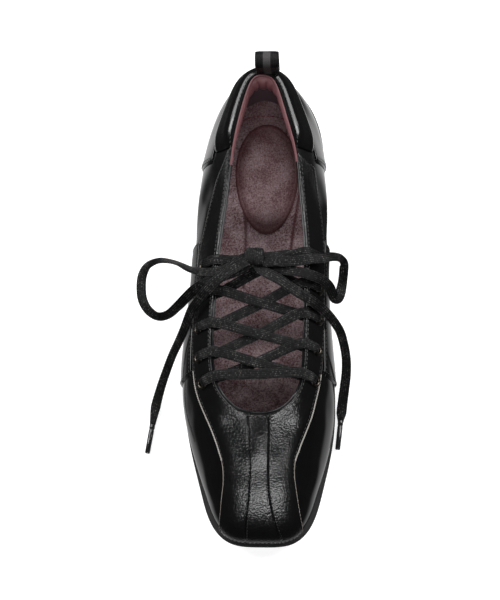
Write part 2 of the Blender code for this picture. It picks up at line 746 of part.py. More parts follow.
def smooth_curve(points, steps):
    """A centripetal curve through hand-chosen points, with this many steps in each span."""
    p = np.asarray(points, float)
    p = np.vstack([2 * p[0] - p[1], p, 2 * p[-1] - p[-2]])
    out = []
    for a, b, c, d in zip(p, p[1:], p[2:], p[3:]):
        t = [0.0]
        for start, end in ((a, b), (b, c), (c, d)):
            t.append(t[-1] + math.sqrt(np.linalg.norm(end - start)))
        for s in np.linspace(t[1], t[2], steps, endpoint=False):
            ab = (a * (t[1] - s) + b * (s - t[0])) / (t[1] - t[0])
            bc = (b * (t[2] - s) + c * (s - t[1])) / (t[2] - t[1])
            cd = (c * (t[3] - s) + d * (s - t[2])) / (t[3] - t[2])
            left = (ab * (t[2] - s) + bc * (s - t[0])) / (t[2] - t[0])
            right = (bc * (t[3] - s) + cd * (s - t[1])) / (t[3] - t[1])
            out.append((left * (t[2] - s) + right * (s - t[1])) / (t[2] - t[1]))
    return np.array(out + [p[-2]])


def ribbon_object(name, points, ups):
    """A flat strip of lace along points, facing the given up directions."""
    way = np.gradient(points, axis=0)
    way /= np.linalg.norm(way, axis=1, keepdims=True)
    side = np.cross(way, ups)
    side /= np.linalg.norm(side, axis=1, keepdims=True)
    face = np.cross(side, way)
    corners = []
    for across, up in ((-1, -1), (1, -1), (1, 1), (-1, 1)):
        corners.append(points + side * across * LACE_WIDTH / 2 + face * up * LACE_THICKNESS / 2)
    rows = np.stack(corners, axis=1)
    faces = [(0, 1, 2, 3), tuple(4 * (len(points) - 1) + c for c in range(4))]
    for i in range(len(points) - 1):
        faces += [(4 * i + c, 4 * i + (c + 1) % 4, 4 * i + 4 + (c + 1) % 4, 4 * i + 4 + c) for c in range(4)]
    return mesh_object(name, rows.reshape(-1, 3), faces, BLACK_LACE)


def lace_stops(side, number):
    """Points of the lace at an eyelet: over it, over the panel, over and under the topline, and the up there."""
    place, rise = eyelet_spots()[side][number]
    seat = 2 * GAP + PANEL + LACE_THICKNESS / 2
    over_eyelet = over_upper(place, rise, seat + EYELET_RISE + GAP)
    on_panel = over_upper(place, (rise + 1) / 2, seat + EYELET_RISE)
    rim = over_upper(place, 1.0, seat)
    inward = np.array([-math.copysign(1, rim[0] - AXIS), 0, 0])
    over_rim = rim + inward * LACE_OVER_IN + np.array([0, 0, LACE_OVER_UP])
    under_rim = upper_face(place, 1.0) + inward * (WALL + LACE_WIDTH / 2) - np.array([0, 0, LACE_TUCK])
    return over_eyelet, on_panel, over_rim, under_rim, upper_normal(place, rise)


def strip(name, points, start_up, end_up):
    """A lace strip whose face turns from one up direction to another."""
    curve = smooth_curve(points, STRIP_STEPS)
    share = np.linspace(0, 1, len(curve))[:, None]
    return ribbon_object(name, curve, start_up * (1 - share) + end_up * share)


def make_crossings():
    """The lace over the throat: a bar at the toe, four crosses and a bar under the knot."""
    sky = np.array([0.0, 0.0, 1.0])
    outer, inner = lace_stops("lateral", 0), lace_stops("medial", 0)
    strip("lace_bar_toe", [*outer[:3], (outer[2] + inner[2]) / 2, *inner[2::-1]], outer[4], inner[4])
    for number in range(len(EYELETS) - 1):
        halves = []
        for start, end in (("lateral", "medial"), ("medial", "lateral")):
            low, high = lace_stops(start, number), lace_stops(end, number + 1)
            middle = (low[3] + high[2]) / 2
            name = f"lace_cross_{number + 1}" if start == "lateral" else f"cross_helper_{number + 1}"
            halves.append(strip(name, [low[3], middle, high[2], high[1], high[0]], sky, high[4]))
        cut(halves[0], halves[1], "UNION")
    outer, inner = lace_stops("lateral", -1)[3], lace_stops("medial", -1)[3]
    strip("lace_bar_knot", [outer, (outer + inner) / 2 + sky * KNOT_BAR_RISE, inner], sky, sky)


def cord_points(route):
    """World points along a smooth curve through a route, evenly spaced."""
    chosen = np.array(route) * MM
    fine = smooth_curve(spot(chosen[:, 0], chosen[:, 1], chosen[:, 2]), CURVE_STEPS)
    run = np.concatenate([[0], np.cumsum(np.linalg.norm(np.diff(fine, axis=0), axis=1))])
    even = np.linspace(0, run[-1], max(3, round(run[-1] / CORD_STEP) + 1))
    return np.stack([np.interp(even, run, fine[:, k]) for k in range(3)], axis=1)


def make_bow():
    """The knot, the two loops and the two ends with their aglets."""
    shape = bmesh.new()
    bmesh.ops.create_cube(shape, size=1, matrix=Matrix.Diagonal((*KNOT_SIZE, 1)))
    bmesh.ops.bevel(shape, geom=shape.edges[:], offset=KNOT_ROUND, segments=2, profile=0.5, affect="EDGES")
    mesh = bpy.data.meshes.new("lace_knot")
    shape.to_mesh(mesh)
    shape.free()
    mesh.shade_smooth()
    knot = add_object("lace_knot", mesh, BLACK_LACE)
    knot.location = spot(KNOT.along * MM, KNOT.across * MM, KNOT.height * MM)
    for name, route in ROUTES.items():
        points = cord_points(route)
        curve = bpy.data.curves.new(name, "CURVE")
        curve.dimensions = "3D"
        curve.bevel_depth = CORD_RADIUS
        curve.bevel_resolution = CORD_RESOLUTION
        curve.use_fill_caps = True
        line = curve.splines.new("POLY")
        line.points.add(len(points) - 1)
        for point, place in zip(line.points, points):
            point.co = (*place, 1)
        add_object(name, curve, BLACK_LACE)
        if "end" in name:
            make_aglet(name.replace("lace_end", "aglet"), points[-1], points[-1] - points[-2])


def make_aglet(name, tip, way):
    """A stiff tip that goes on level from the end of the lace."""
    way = Vector((way[0], way[1], 0)).normalized()
    shape = bmesh.new()
    bmesh.ops.create_cone(
        shape, cap_ends=True, segments=AGLET_SIDES,
        radius1=AGLET_RADIUS, radius2=AGLET_RADIUS, depth=AGLET_LENGTH,
    )
    mesh = bpy.data.meshes.new(name)
    shape.to_mesh(mesh)
    shape.free()
    obj = add_object(name, mesh, BLACK_LACE)
    middle = Vector(tip) + way * (AGLET_LENGTH / 2 + 2 * GAP)
    obj.matrix_world = Matrix.Translation(middle) @ way.to_track_quat("Z", "Y").to_matrix().to_4x4()


def main():
    """Clears the scene and makes every piece."""
    for obj in list(bpy.data.objects):
        bpy.data.objects.remove(obj, do_unlink=True)
    shoe = bpy.data.objects.new("shoe", None)
    bpy.context.scene.collection.objects.link(shoe)
    make_outsole()
    make_insole()
    holes = eyelet_holes()
    make_upper(holes)
    make_vamp_panel(holes)
    make_patches()
    make_pull_loop()
    make_eyelets()
    make_crossings()
    make_bow()


main()
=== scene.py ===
"""Looks of a right lace-up shoe: leather, lining, footbed, rubber unit, stitches, eyelets and a flat lace.

Every piece follows the last, the surface Last.face(place, rise), which has the same sections as the solids.
The place runs round the shoe and counts the rows of LAST_ROWS: 0 at the back of the heel, down the outer side
to the toe, and back up the inner side. The rise is 0 at the lasted edge and 1 at the topline. Metres, +Z up,
toe to -Y, inner side +X.
"""

from __future__ import annotations

import logging
import math
from dataclasses import dataclass, field
from enum import Enum
from typing import Callable, NamedTuple, Sequence

import bmesh
import bpy
import numpy as np
from mathutils import Matrix, Vector

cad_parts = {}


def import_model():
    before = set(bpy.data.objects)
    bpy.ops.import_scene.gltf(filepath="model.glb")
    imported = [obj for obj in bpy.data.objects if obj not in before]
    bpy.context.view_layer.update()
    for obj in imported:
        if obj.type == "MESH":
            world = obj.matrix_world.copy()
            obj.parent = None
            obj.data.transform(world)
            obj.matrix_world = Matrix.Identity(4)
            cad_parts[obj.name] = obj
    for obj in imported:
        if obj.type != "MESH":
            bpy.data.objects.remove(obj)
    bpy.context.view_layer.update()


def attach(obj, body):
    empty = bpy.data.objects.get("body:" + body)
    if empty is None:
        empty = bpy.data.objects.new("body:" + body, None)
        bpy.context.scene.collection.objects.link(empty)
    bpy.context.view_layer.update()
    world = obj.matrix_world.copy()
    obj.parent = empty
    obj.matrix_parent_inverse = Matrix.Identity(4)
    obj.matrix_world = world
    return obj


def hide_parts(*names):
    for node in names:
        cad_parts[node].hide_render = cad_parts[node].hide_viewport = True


LOG = logging.getLogger("shoe")
BODY = "root"
MM = 0.001
LEAST_NORM = 1e-12
LEAST_STEP = 1e-9
SKY = np.array([0.0, 0.0, 1.0])
HEELWARD = np.array([0.0, 1.0, 0.0])
INWARD = np.array([1.0, 0.0, 0.0])
Array = np.ndarray
Values = Array | float
Pair = tuple[float, float]
Triple = tuple[float, float, float]
Table = tuple[Pair, ...]
Thing = bpy.types.Object
Socket = bpy.types.NodeSocket
Sockets = tuple[Socket, Socket]


class LastRow(NamedTuple):
    """A section of the last, in percent of length, ball width and instep height, and in degrees."""

    along: float
    lateral: float
    medial: float
    top_along: float
    top_lateral: float
    top_medial: float
    height: float
    lean: float
    rise: float
    crown: float
    sweep: float
    flange: float


LAST_ROWS = (
    LastRow(1.8, 0.0, 0.0, 5.6, 0.0, 0.0, 121.4, 9, 39, 82, 29, 5.8),  # heel back
    LastRow(3.8, 16.9, 16.9, 6.6, 7.0, 7.5, 120.7, 9, 39, 80, 29, 5.3),  # heel turn
    LastRow(7.4, 27.0, 27.0, 9.9, 11.5, 12.3, 118.9, 10, 38, 78, 29, 4.6),  # heel curve
    LastRow(12.8, 34.1, 34.0, 14.7, 15.8, 17.0, 116.1, 13, 36, 74, 29, 3.8),  # heel side
    LastRow(20.2, 39.3, 37.5, 20.9, 19.9, 22.5, 110.4, 18, 34, 66, 29, 2.5),  # collar end
    LastRow(29.5, 42.3, 38.8, 29.5, 22.8, 25.5, 104.6, 24, 32, 58, 29, 1.3),  # waist back
    LastRow(39.5, 43.8, 38.3, 39.1, 26.9, 28.5, 101.8, 25, 31, 50, 27, 1.0),  # waist
    LastRow(50.4, 47.0, 39.5, 49.6, 30.0, 29.0, 100.0, 25, 29, 44, 25, 1.0),  # instep
    LastRow(61.2, 51.3, 43.5, 59.7, 31.5, 28.4, 96.8, 24, 27, 38, 25, 1.3),  # joint
    LastRow(70.5, 51.6, 46.3, 67.1, 30.0, 27.1, 92.7, 21, 25, 32, 29, 1.5),  # ball
    LastRow(79.5, 46.6, 43.8, 71.1, 24.3, 22.5, 88.2, 17, 23, 26, 36, 1.9),  # ball front
    LastRow(88.4, 38.3, 36.9, 73.4, 16.6, 15.0, 85.4, 12, 23, 22, 48, 2.8),  # toe side
    LastRow(95.3, 29.8, 29.1, 74.3, 10.0, 8.8, 83.9, 8, 25, 18, 61, 3.3),  # toe corner
    LastRow(98.3, 19.4, 19.4, 74.6, 5.0, 4.5, 83.2, 6, 27, 16, 68, 3.3),  # toe edge
    LastRow(99.0, 0.0, 0.0, 74.7, 0.0, 0.0, 83.0, 5, 27, 15, 71, 3.3),  # toe middle
)
TOE = len(LAST_ROWS) - 1
ROUND = 2 * TOE


class SoleRow(NamedTuple):
    """Heights of the rubber unit's two faces in percent of the heel height, by percent of the length."""

    along: float
    top: float
    bottom: float


SOLE_ROWS = tuple(SoleRow(*row) for row in (
    (0, 103, 9), (4, 103, 0), (14, 100, 0), (29, 88, 0), (42, 67, 13),
    (55, 53, 0), (70, 51, 0), (79, 54, 0), (90, 66, 14), (100, 85, 42),
))


class Crease(NamedTuple):
    """A soft trough in the leather between two points of the last, with a low ridge on each side."""

    start: Pair
    end: Pair
    width: float
    depth: float


CREASES = tuple(Crease(*row) for row in (
    ((10.2, 0.62), (11.6, 0.50), 0.0050, 0.00045), ((9.3, 0.50), (10.6, 0.36), 0.0060, 0.00040),
    ((17.8, 0.64), (16.6, 0.50), 0.0050, 0.00040), ((18.8, 0.48), (17.6, 0.34), 0.0060, 0.00035),
    ((11.3, 0.90), (12.9, 0.84), 0.0045, 0.00040), ((16.7, 0.90), (15.2, 0.84), 0.0045, 0.00036),
    ((13.0, 0.72), (15.0, 0.74), 0.0070, 0.00025), ((4.8, 0.55), (5.7, 0.30), 0.0060, 0.00040),
    ((23.2, 0.55), (22.4, 0.32), 0.0060, 0.00040), ((2.2, 0.50), (3.6, 0.36), 0.0060, 0.00030),
    ((25.9, 0.50), (24.5, 0.36), 0.0060, 0.00030),
))
CREASE_STEPS = 7  # points on a crease's line
CREASE_RIDGE = (0.6, 1.9)  # height of its ridges and their distance, in depths and widths


@dataclass
class Last:
    """The surface that the upper is pulled over."""

    length: float = 0.258
    ball_width: float = 0.080
    instep: float = 0.056
    heel: float = 0.017
    axis: float = 0.0025
    gap: float = 0.00035
    chord_power: float = 0.75
    slope_step: float = 1e-3
    ring: Array = field(init=False)
    knots: Array = field(init=False)
    bend: Array = field(init=False)

    def __post_init__(self) -> None:
        """Works out the closed spline through the rows."""
        wide, high, turn = self.ball_width / 100, self.instep / 100, math.pi / 180
        ring = []
        for index in range(ROUND):
            row = LAST_ROWS[min(index, ROUND - index)]
            inner = index > TOE
            ring.append((
                row.along * self.length / 100,
                (row.medial if inner else -row.lateral) * wide,
                row.top_along * self.length / 100,
                (row.top_medial if inner else -row.top_lateral) * wide,
                row.height * high,
                row.lean * turn,
                row.rise * high,
                row.crown * turn,
                row.sweep * high,
                row.flange * wide,
            ))
        self.ring = np.array(ring)
        edge = np.vstack([self.ring[:, :2], self.ring[:1, :2]])
        step = np.linalg.norm(np.diff(edge, axis=0), axis=1) ** self.chord_power
        self.knots = np.concatenate([[0.0], np.cumsum(step)])
        slope = (np.roll(self.ring, -1, axis=0) - self.ring) / step[:, None]
        system = np.zeros((ROUND, ROUND))
        for i in range(ROUND):
            before, after = (i - 1) % ROUND, (i + 1) % ROUND
            system[i, before] = step[before]
            system[i, i] = 2 * (step[before] + step[i])
            system[i, after] = step[i]
        self.bend = np.linalg.solve(system, 6 * (slope - np.roll(slope, 1, axis=0)))

    def spot(self, along: Values, across: Values, height: Values) -> Array:
        """Gives world points.

        Args:
            along: distance from the heel.
            across: distance from the heel-to-toe line to the inner side.
            height: height above the floor.

        Returns:
            The points, with their coordinates in the last axis.
        """
        along, across, height = np.broadcast_arrays(along, across, height)
        return np.stack([self.axis + across, self.length / 2 - along, height], axis=-1)

    def section(self, place: Values) -> Array:
        """Gives the last's section at any place.

        Args:
            place: place round the shoe.

        Returns:
            The columns of the ring in the last axis.
        """
        place = np.mod(np.asarray(place, float), ROUND)
        i = np.minimum(place.astype(int), ROUND - 1)
        j = (i + 1) % ROUND
        step = (self.knots[i + 1] - self.knots[i])[..., None]
        t = (place - i)[..., None] * step
        u = step - t
        ring, bend = self.ring, self.bend
        curve = (bend[i] * u**3 + bend[j] * t**3) / (6 * step)
        return curve + (ring[i] / step - bend[i] * step / 6) * u + (ring[j] / step - bend[j] * step / 6) * t

    def sole_height(self, along: Array, column: str) -> Array:
        """Gives the height of the rubber unit's top or bottom face.

        Args:
            along: distance from the heel.
            column: name of the SoleRow column.

        Returns:
            Heights, a monotone cubic through the rows.
        """
        x = np.array([row.along for row in SOLE_ROWS]) * self.length / 100
        y = np.array([getattr(row, column) for row in SOLE_ROWS]) * self.heel / 100
        rate = np.diff(y) / np.diff(x)
        tangent = np.zeros(len(x))
        for k in range(1, len(x) - 1):
            if rate[k - 1] * rate[k] > 0:
                tangent[k] = 2 * rate[k - 1] * rate[k] / (rate[k - 1] + rate[k])
        tangent[0], tangent[-1] = rate[0], rate[-1]
        along = np.clip(along, x[0], x[-1])
        i = np.clip(np.searchsorted(x, along, side="right") - 1, 0, len(x) - 2)
        h = x[i + 1] - x[i]
        t = (along - x[i]) / h
        ends = (1 + 2 * t) * (1 - t) ** 2 * y[i] + t**2 * (3 - 2 * t) * y[i + 1]
        return ends + h * t * (1 - t) * ((1 - t) * tangent[i] - t * tangent[i + 1])

    def face(self, place: Values, rise: Values) -> Array:
        """Gives points of the upper's outer face, before its creases.

        Args:
            place: place round the shoe.
            rise: share of the way from the lasted edge to the topline.

        Returns:
            World points.
        """
        place, rise = np.broadcast_arrays(np.asarray(place, float), np.asarray(rise, float))
        row = self.section(place)
        start, end = row[..., 0:2], row[..., 2:4]
        top, lean, reach, crown, sweep = np.moveaxis(row[..., 4:9], -1, 0)
        run = np.linalg.norm(end - start, axis=-1)
        base = self.sole_height(row[..., 0], "top") + self.gap
        away = (0 * run, -reach * np.sin(lean), run - sweep * np.cos(crown), run)
        height = (base, base + reach * np.cos(lean), top - sweep * np.sin(crown), top)
        share = ((1 - rise) ** 3, 3 * rise * (1 - rise) ** 2, 3 * rise**2 * (1 - rise), rise**3)
        distance = sum(s * a for s, a in zip(share, away)) / run
        level = sum(s * h for s, h in zip(share, height))
        plan = start + (end - start) * distance[..., None]
        return self.spot(plan[..., 0], plan[..., 1], level)

    def upward(self, place: Values, rise: Values) -> Array:
        """Gives unit vectors along the surface towards the topline."""
        above, below = np.add(rise, self.slope_step), np.subtract(rise, self.slope_step)
        return unit(self.face(place, above) - self.face(place, below))

    def normal(self, place: Values, rise: Values) -> Array:
        """Gives outward unit normals, without the creases."""
        ahead, behind = np.add(place, self.slope_step), np.subtract(place, self.slope_step)
        return unit(np.cross(self.face(ahead, rise) - self.face(behind, rise), self.upward(place, rise)))

    def relief(self, place: Values, rise: Values) -> Array:
        """Gives the height of the creases, shared by every layer of leather.

        Args:
            place: place round the shoe.
            rise: share of the way to the topline.

        Returns:
            Heights along the outward normal, below zero in a trough.
        """
        points = self.face(place, rise)
        total = np.zeros(points.shape[:-1])
        share = np.linspace(0, 1, CREASE_STEPS)[:, None]
        for crease in CREASES:
            way = np.array(crease.start) * (1 - share) + np.array(crease.end) * share
            line = self.face(way[:, 0], way[:, 1])
            gap = np.full(total.shape, np.inf)
            for first, run in zip(line, np.diff(line, axis=0)):
                part = np.clip((points - first) @ run / (run @ run), 0, 1)
                gap = np.minimum(gap, np.linalg.norm(points - first - part[..., None] * run, axis=-1))
            total += crease.depth * trough(gap / crease.width, *CREASE_RIDGE)
        return total

    def over(self, place: Values, rise: Values, height: Values) -> Array:
        """Gives world points at a height over the creased face, along the outward normal."""
        lift = np.asarray(height) + self.relief(place, rise)
        return self.face(place, rise) + self.normal(place, rise) * lift[..., None]

    def sole_edge(self, place: Array, outward: Values) -> Array:
        """Gives plan points beside the lasted edge.

        Args:
            place: places round the shoe.
            outward: distance outside the edge.

        Returns:
            Distances along and across, in the last axis.
        """
        step = self.slope_step
        way = unit((self.section(np.add(place, step)) - self.section(np.subtract(place, step)))[..., :2])
        across = np.stack([way[..., 1], -way[..., 0]], axis=-1)
        return self.section(place)[..., :2] + across * np.broadcast_to(outward, np.shape(place))[..., None]


def unit(vectors: Array) -> Array:
    """Gives vectors of length 1."""
    return vectors / np.maximum(np.linalg.norm(vectors, axis=-1, keepdims=True), LEAST_NORM)


def trough(gap: Array, ridge: float, at: float) -> Array:
    """Gives the section of a soft trough of depth 1 with a ridge on each side.

    Args:
        gap: distances from the trough's line, in widths.
        ridge: height of the ridges.
        at: distance of the ridges.

    Returns:
        Heights, about -1 on the line.
    """
    return ridge * np.exp(-((gap - at) ** 2)) - np.exp(-(gap**2))


def fade(table: Table, place: Array) -> Array:
    """Reads a table of shares by place, which counts from the back of the heel to either side."""
    places, shares = zip(*table)
    return np.interp(np.abs(place), places, shares)


def between(first: Array, second: Array, start: float, end: float, at: float) -> Array:
    """Gives the point at a time between two points, which have times of their own."""
    return (first * (end - at) + second * (at - start)) / (end - start)


def smooth_curve(points: Array, steps: int | Sequence[int]) -> Array:
    """Runs a centripetal curve through given points.

    Args:
        points: one row for each point.
        steps: steps in each span, or one number for all.

    Returns:
        The points of the curve, ends included.
    """
    p = np.asarray(points, float)
    p = np.vstack([2 * p[0] - p[1], p, 2 * p[-1] - p[-2]])
    counts = [steps] * (len(p) - 3) if isinstance(steps, int) else list(steps)
    out = []
    for a, b, c, d, count in zip(p, p[1:], p[2:], p[3:], counts):
        t = [0.0]
        for start, end in ((a, b), (b, c), (c, d)):
            t.append(t[-1] + math.sqrt(max(np.linalg.norm(end - start), LEAST_STEP)))
        for s in np.linspace(t[1], t[2], count, endpoint=False):
            ab, bc, cd = (between(*ends, *t[k:k + 2], s) for k, ends in enumerate(((a, b), (b, c), (c, d))))
            left, right = between(ab, bc, t[0], t[2], s), between(bc, cd, t[1], t[3], s)
            out.append(between(left, right, t[1], t[2], s))
    return np.array(out + [p[-2]])


def run_length(points: Array) -> Array:
    """Gives the distance along a line at each of its points."""
    return np.concatenate([[0.0], np.cumsum(np.linalg.norm(np.diff(points, axis=0), axis=1))])


class Slot(Enum):
    """Material slots."""

    LEATHER = "leather"
    RUBBER = "rubber"
    FOOTBED = "footbed"
    WEBBING = "webbing"
    LACE = "lace"
    EYELET = "eyelet"
    AGLET = "aglet"


class Pattern(Enum):
    """Surface patterns, each made by one shader group."""

    GRAIN = "leather_grain"
    WEAVE = "thread_weave"
    HEATHER = "heathered_cloth"
    STIPPLE = "moulded_stipple"


@dataclass(frozen=True)
class Finish:
    """The look of one material."""

    name: str
    pattern: Pattern
    tone: Triple
    accent: Triple
    roughness: float
    spread: float  # of the roughness
    scale: float  # repeats of the pattern in a metre
    relief: float  # height of the pattern
    bump: float = 0.5
    metallic: float = 0.0
    coat: float = 0.0
    coat_roughness: float = 0.1
    sheen: float = 0.0
    specular: float = 0.5
    # a second colour that a piece's tint attribute mixes in: the real grey stripe of the webbing and worn
    # metal on the eyelets, painted shade on the footbed and the cushion
    tint: Triple | None = None


UPPER_LEATHER = Finish(
    "upper_leather", Pattern.GRAIN, (0.0034, 0.0034, 0.0038), (0.0056, 0.0056, 0.0060),
    0.15, 0.05, 1500.0, 0.000012, bump=0.30,
)
VAMP_LEATHER = Finish(
    "vamp_leather", Pattern.GRAIN, (0.0034, 0.0034, 0.0038), (0.0060, 0.0060, 0.0064),
    0.22, 0.06, 1160.0, 0.00013, bump=0.9,
)
LINING_LEATHER = Finish(
    "lining_leather", Pattern.GRAIN, (0.125, 0.043, 0.049), (0.175, 0.068, 0.075),
    0.55, 0.10, 1700.0, 0.00006,
)
LINING_CLOTH = Finish(
    "lining_cloth", Pattern.HEATHER, (0.060, 0.032, 0.040), (0.100, 0.058, 0.070),
    0.85, 0.10, 1500.0, 0.00010,
)
# its tint colours the pressed and sewn lines, and is also painted shade along the rim and at the heel
FOOTBED_CLOTH = Finish(
    "footbed_cloth", Pattern.HEATHER, (0.125, 0.054, 0.061), (0.66, 0.50, 0.52),
    0.88, 0.10, 1800.0, 0.00016, bump=0.7, sheen=0.3, tint=(0.060, 0.008, 0.012),
)
# its tint is painted shade towards the cushion's border
PAD_LEATHER = Finish(
    "pad_leather", Pattern.HEATHER, (0.135, 0.056, 0.063), (0.54, 0.38, 0.395),
    0.62, 0.12, 1800.0, 0.00009, bump=0.6, sheen=0.2, tint=(0.085, 0.012, 0.016),
)
SOLE_RUBBER = Finish(
    "sole_rubber", Pattern.STIPPLE, (0.0075, 0.0075, 0.0075), (0.014, 0.014, 0.014),
    0.62, 0.14, 900.0, 0.00012, specular=0.25,
)
# the accent is painted glint on the waxed threads
LACE_COTTON = Finish(
    "lace_cotton", Pattern.WEAVE, (0.0030, 0.0030, 0.0034), (0.26, 0.255, 0.242),
    0.48, 0.20, 950.0, 0.00020, bump=0.8, specular=0.10,
)
# the accent is a faint painted glint on the threads; the tint is the grey stripe
LOOP_WEBBING = Finish(
    "loop_webbing", Pattern.WEAVE, (0.0040, 0.0040, 0.0044), (0.018, 0.018, 0.018),
    0.6, 0.2, 1000.0, 0.00025, bump=0.8, specular=0.15, tint=(0.055, 0.052, 0.053),
)
EYELET_ENAMEL = Finish(
    "eyelet_enamel", Pattern.STIPPLE, (0.020, 0.019, 0.018), (0.034, 0.031, 0.028),
    0.26, 0.10, 1800.0, 0.00003, metallic=0.9, tint=(0.16, 0.135, 0.11),
)
AGLET_PLASTIC = Finish(
    "aglet_plastic", Pattern.STIPPLE, (0.008, 0.008, 0.0085), (0.016, 0.016, 0.017),
    0.18, 0.08, 1400.0, 0.00004, coat=0.4,
)
BLACK_THREAD = Finish(
    "black_thread", Pattern.HEATHER, (0.008, 0.008, 0.008), (0.035, 0.034, 0.032),
    0.5, 0.15, 3000.0, 0.00006,
)
# black thread painted a dark grey, which stands partly for its glints on the topline stitches; the dark rope
# is sewn with the same grey
DARK_THREAD = Finish(
    "dark_thread", Pattern.HEATHER, (0.030, 0.029, 0.028), (0.075, 0.073, 0.070),
    0.45, 0.15, 3000.0, 0.00006,
)
GREY_THREAD = Finish(
    "grey_thread", Pattern.HEATHER, (0.32, 0.30, 0.275), (0.62, 0.59, 0.55),
    0.55, 0.15, 3000.0, 0.00006,
)
BROWN_EDGE = Finish(
    "brown_edge", Pattern.HEATHER, (0.19, 0.160, 0.138), (0.42, 0.37, 0.33),
    0.6, 0.15, 2200.0, 0.00006,
)
RED_THREAD = Finish(
    "red_thread", Pattern.HEATHER, (0.10, 0.012, 0.018), (0.19, 0.035, 0.045),
    0.6, 0.15, 3000.0, 0.00006,
)


class NodeKit:
    """Adds nodes to one tree and sets or links their inputs."""

    def __init__(self, tree: bpy.types.NodeTree) -> None:
        """Keeps the tree."""
        self.tree = tree

    def put(self, socket: Socket, value: object) -> None:
        """Links a socket to an input, or sets the input's own value.

        Args:
            socket: the input.
            value: a socket of another node, or a value.
        """
        if isinstance(value, Socket):
            self.tree.links.new(value, socket)
        else:
            socket.default_value = value

    def add(self, kind: str, settings: dict[str, object] | None = None, **inputs: object) -> bpy.types.Node:
        """Adds a node.

        Args:
            kind: the node's type.
            settings: properties of the node.
            inputs: values or sockets by the input's name, with _ for a space.

        Returns:
            The node.
        """
        node = self.tree.nodes.new(kind)
        for name, value in (settings or {}).items():
            setattr(node, name, value)
        for name, value in inputs.items():
            self.put(node.inputs[name.replace("_", " ")], value)
        return node

    def math(self, operation: str, *values: object) -> Socket:
        """Adds a Math node.

        Args:
            operation: what it does.
            values: values or sockets, in the order of its inputs.

        Returns:
            Its output.
        """
        node = self.add("ShaderNodeMath", {"operation": operation})
        for socket, value in zip(node.inputs, values):
            self.put(socket, value)
        return node.outputs[0]

    def mix(self, factor: object, first: object, second: object) -> Socket:
        """Adds a colour Mix node.

        Args:
            factor: share of the second colour.
            first: the first colour.
            second: the second colour.

        Returns:
            Its colour output.
        """
        node = self.add("ShaderNodeMix", {"data_type": "RGBA"})
        for index, value in ((0, factor), (6, first), (7, second)):
            self.put(node.inputs[index], value)
        return node.outputs[2]

    def copies(self, points: Socket, instance: Socket, rotation: Socket) -> Socket:
        """Adds nodes that set a copy of a mesh on each point.

        Args:
            points: the points.
            instance: the mesh.
            rotation: each copy's rotation.

        Returns:
            The copies as one mesh.
        """
        placed = self.add(
            "GeometryNodeInstanceOnPoints", Points=points, Instance=instance, Rotation=rotation
        )
        return self.add("GeometryNodeRealizeInstances", Geometry=placed.outputs[0]).outputs[0]


def new_tree(name: str, kind: str, inputs: dict[str, str], outputs: dict[str, str]) -> NodeKit:
    """Makes an empty node group.

    Args:
        name: the group's name.
        kind: the type of its tree.
        inputs: types of its input sockets by name, without the word that all types start with.
        outputs: types of its output sockets, likewise.

    Returns:
        A kit on the tree.
    """
    tree = bpy.data.node_groups.new(name, kind)
    for way, sockets in (("INPUT", inputs), ("OUTPUT", outputs)):
        for label, socket in sockets.items():
            tree.interface.new_socket(label, in_out=way, socket_type="NodeSocket" + socket)
    return NodeKit(tree)


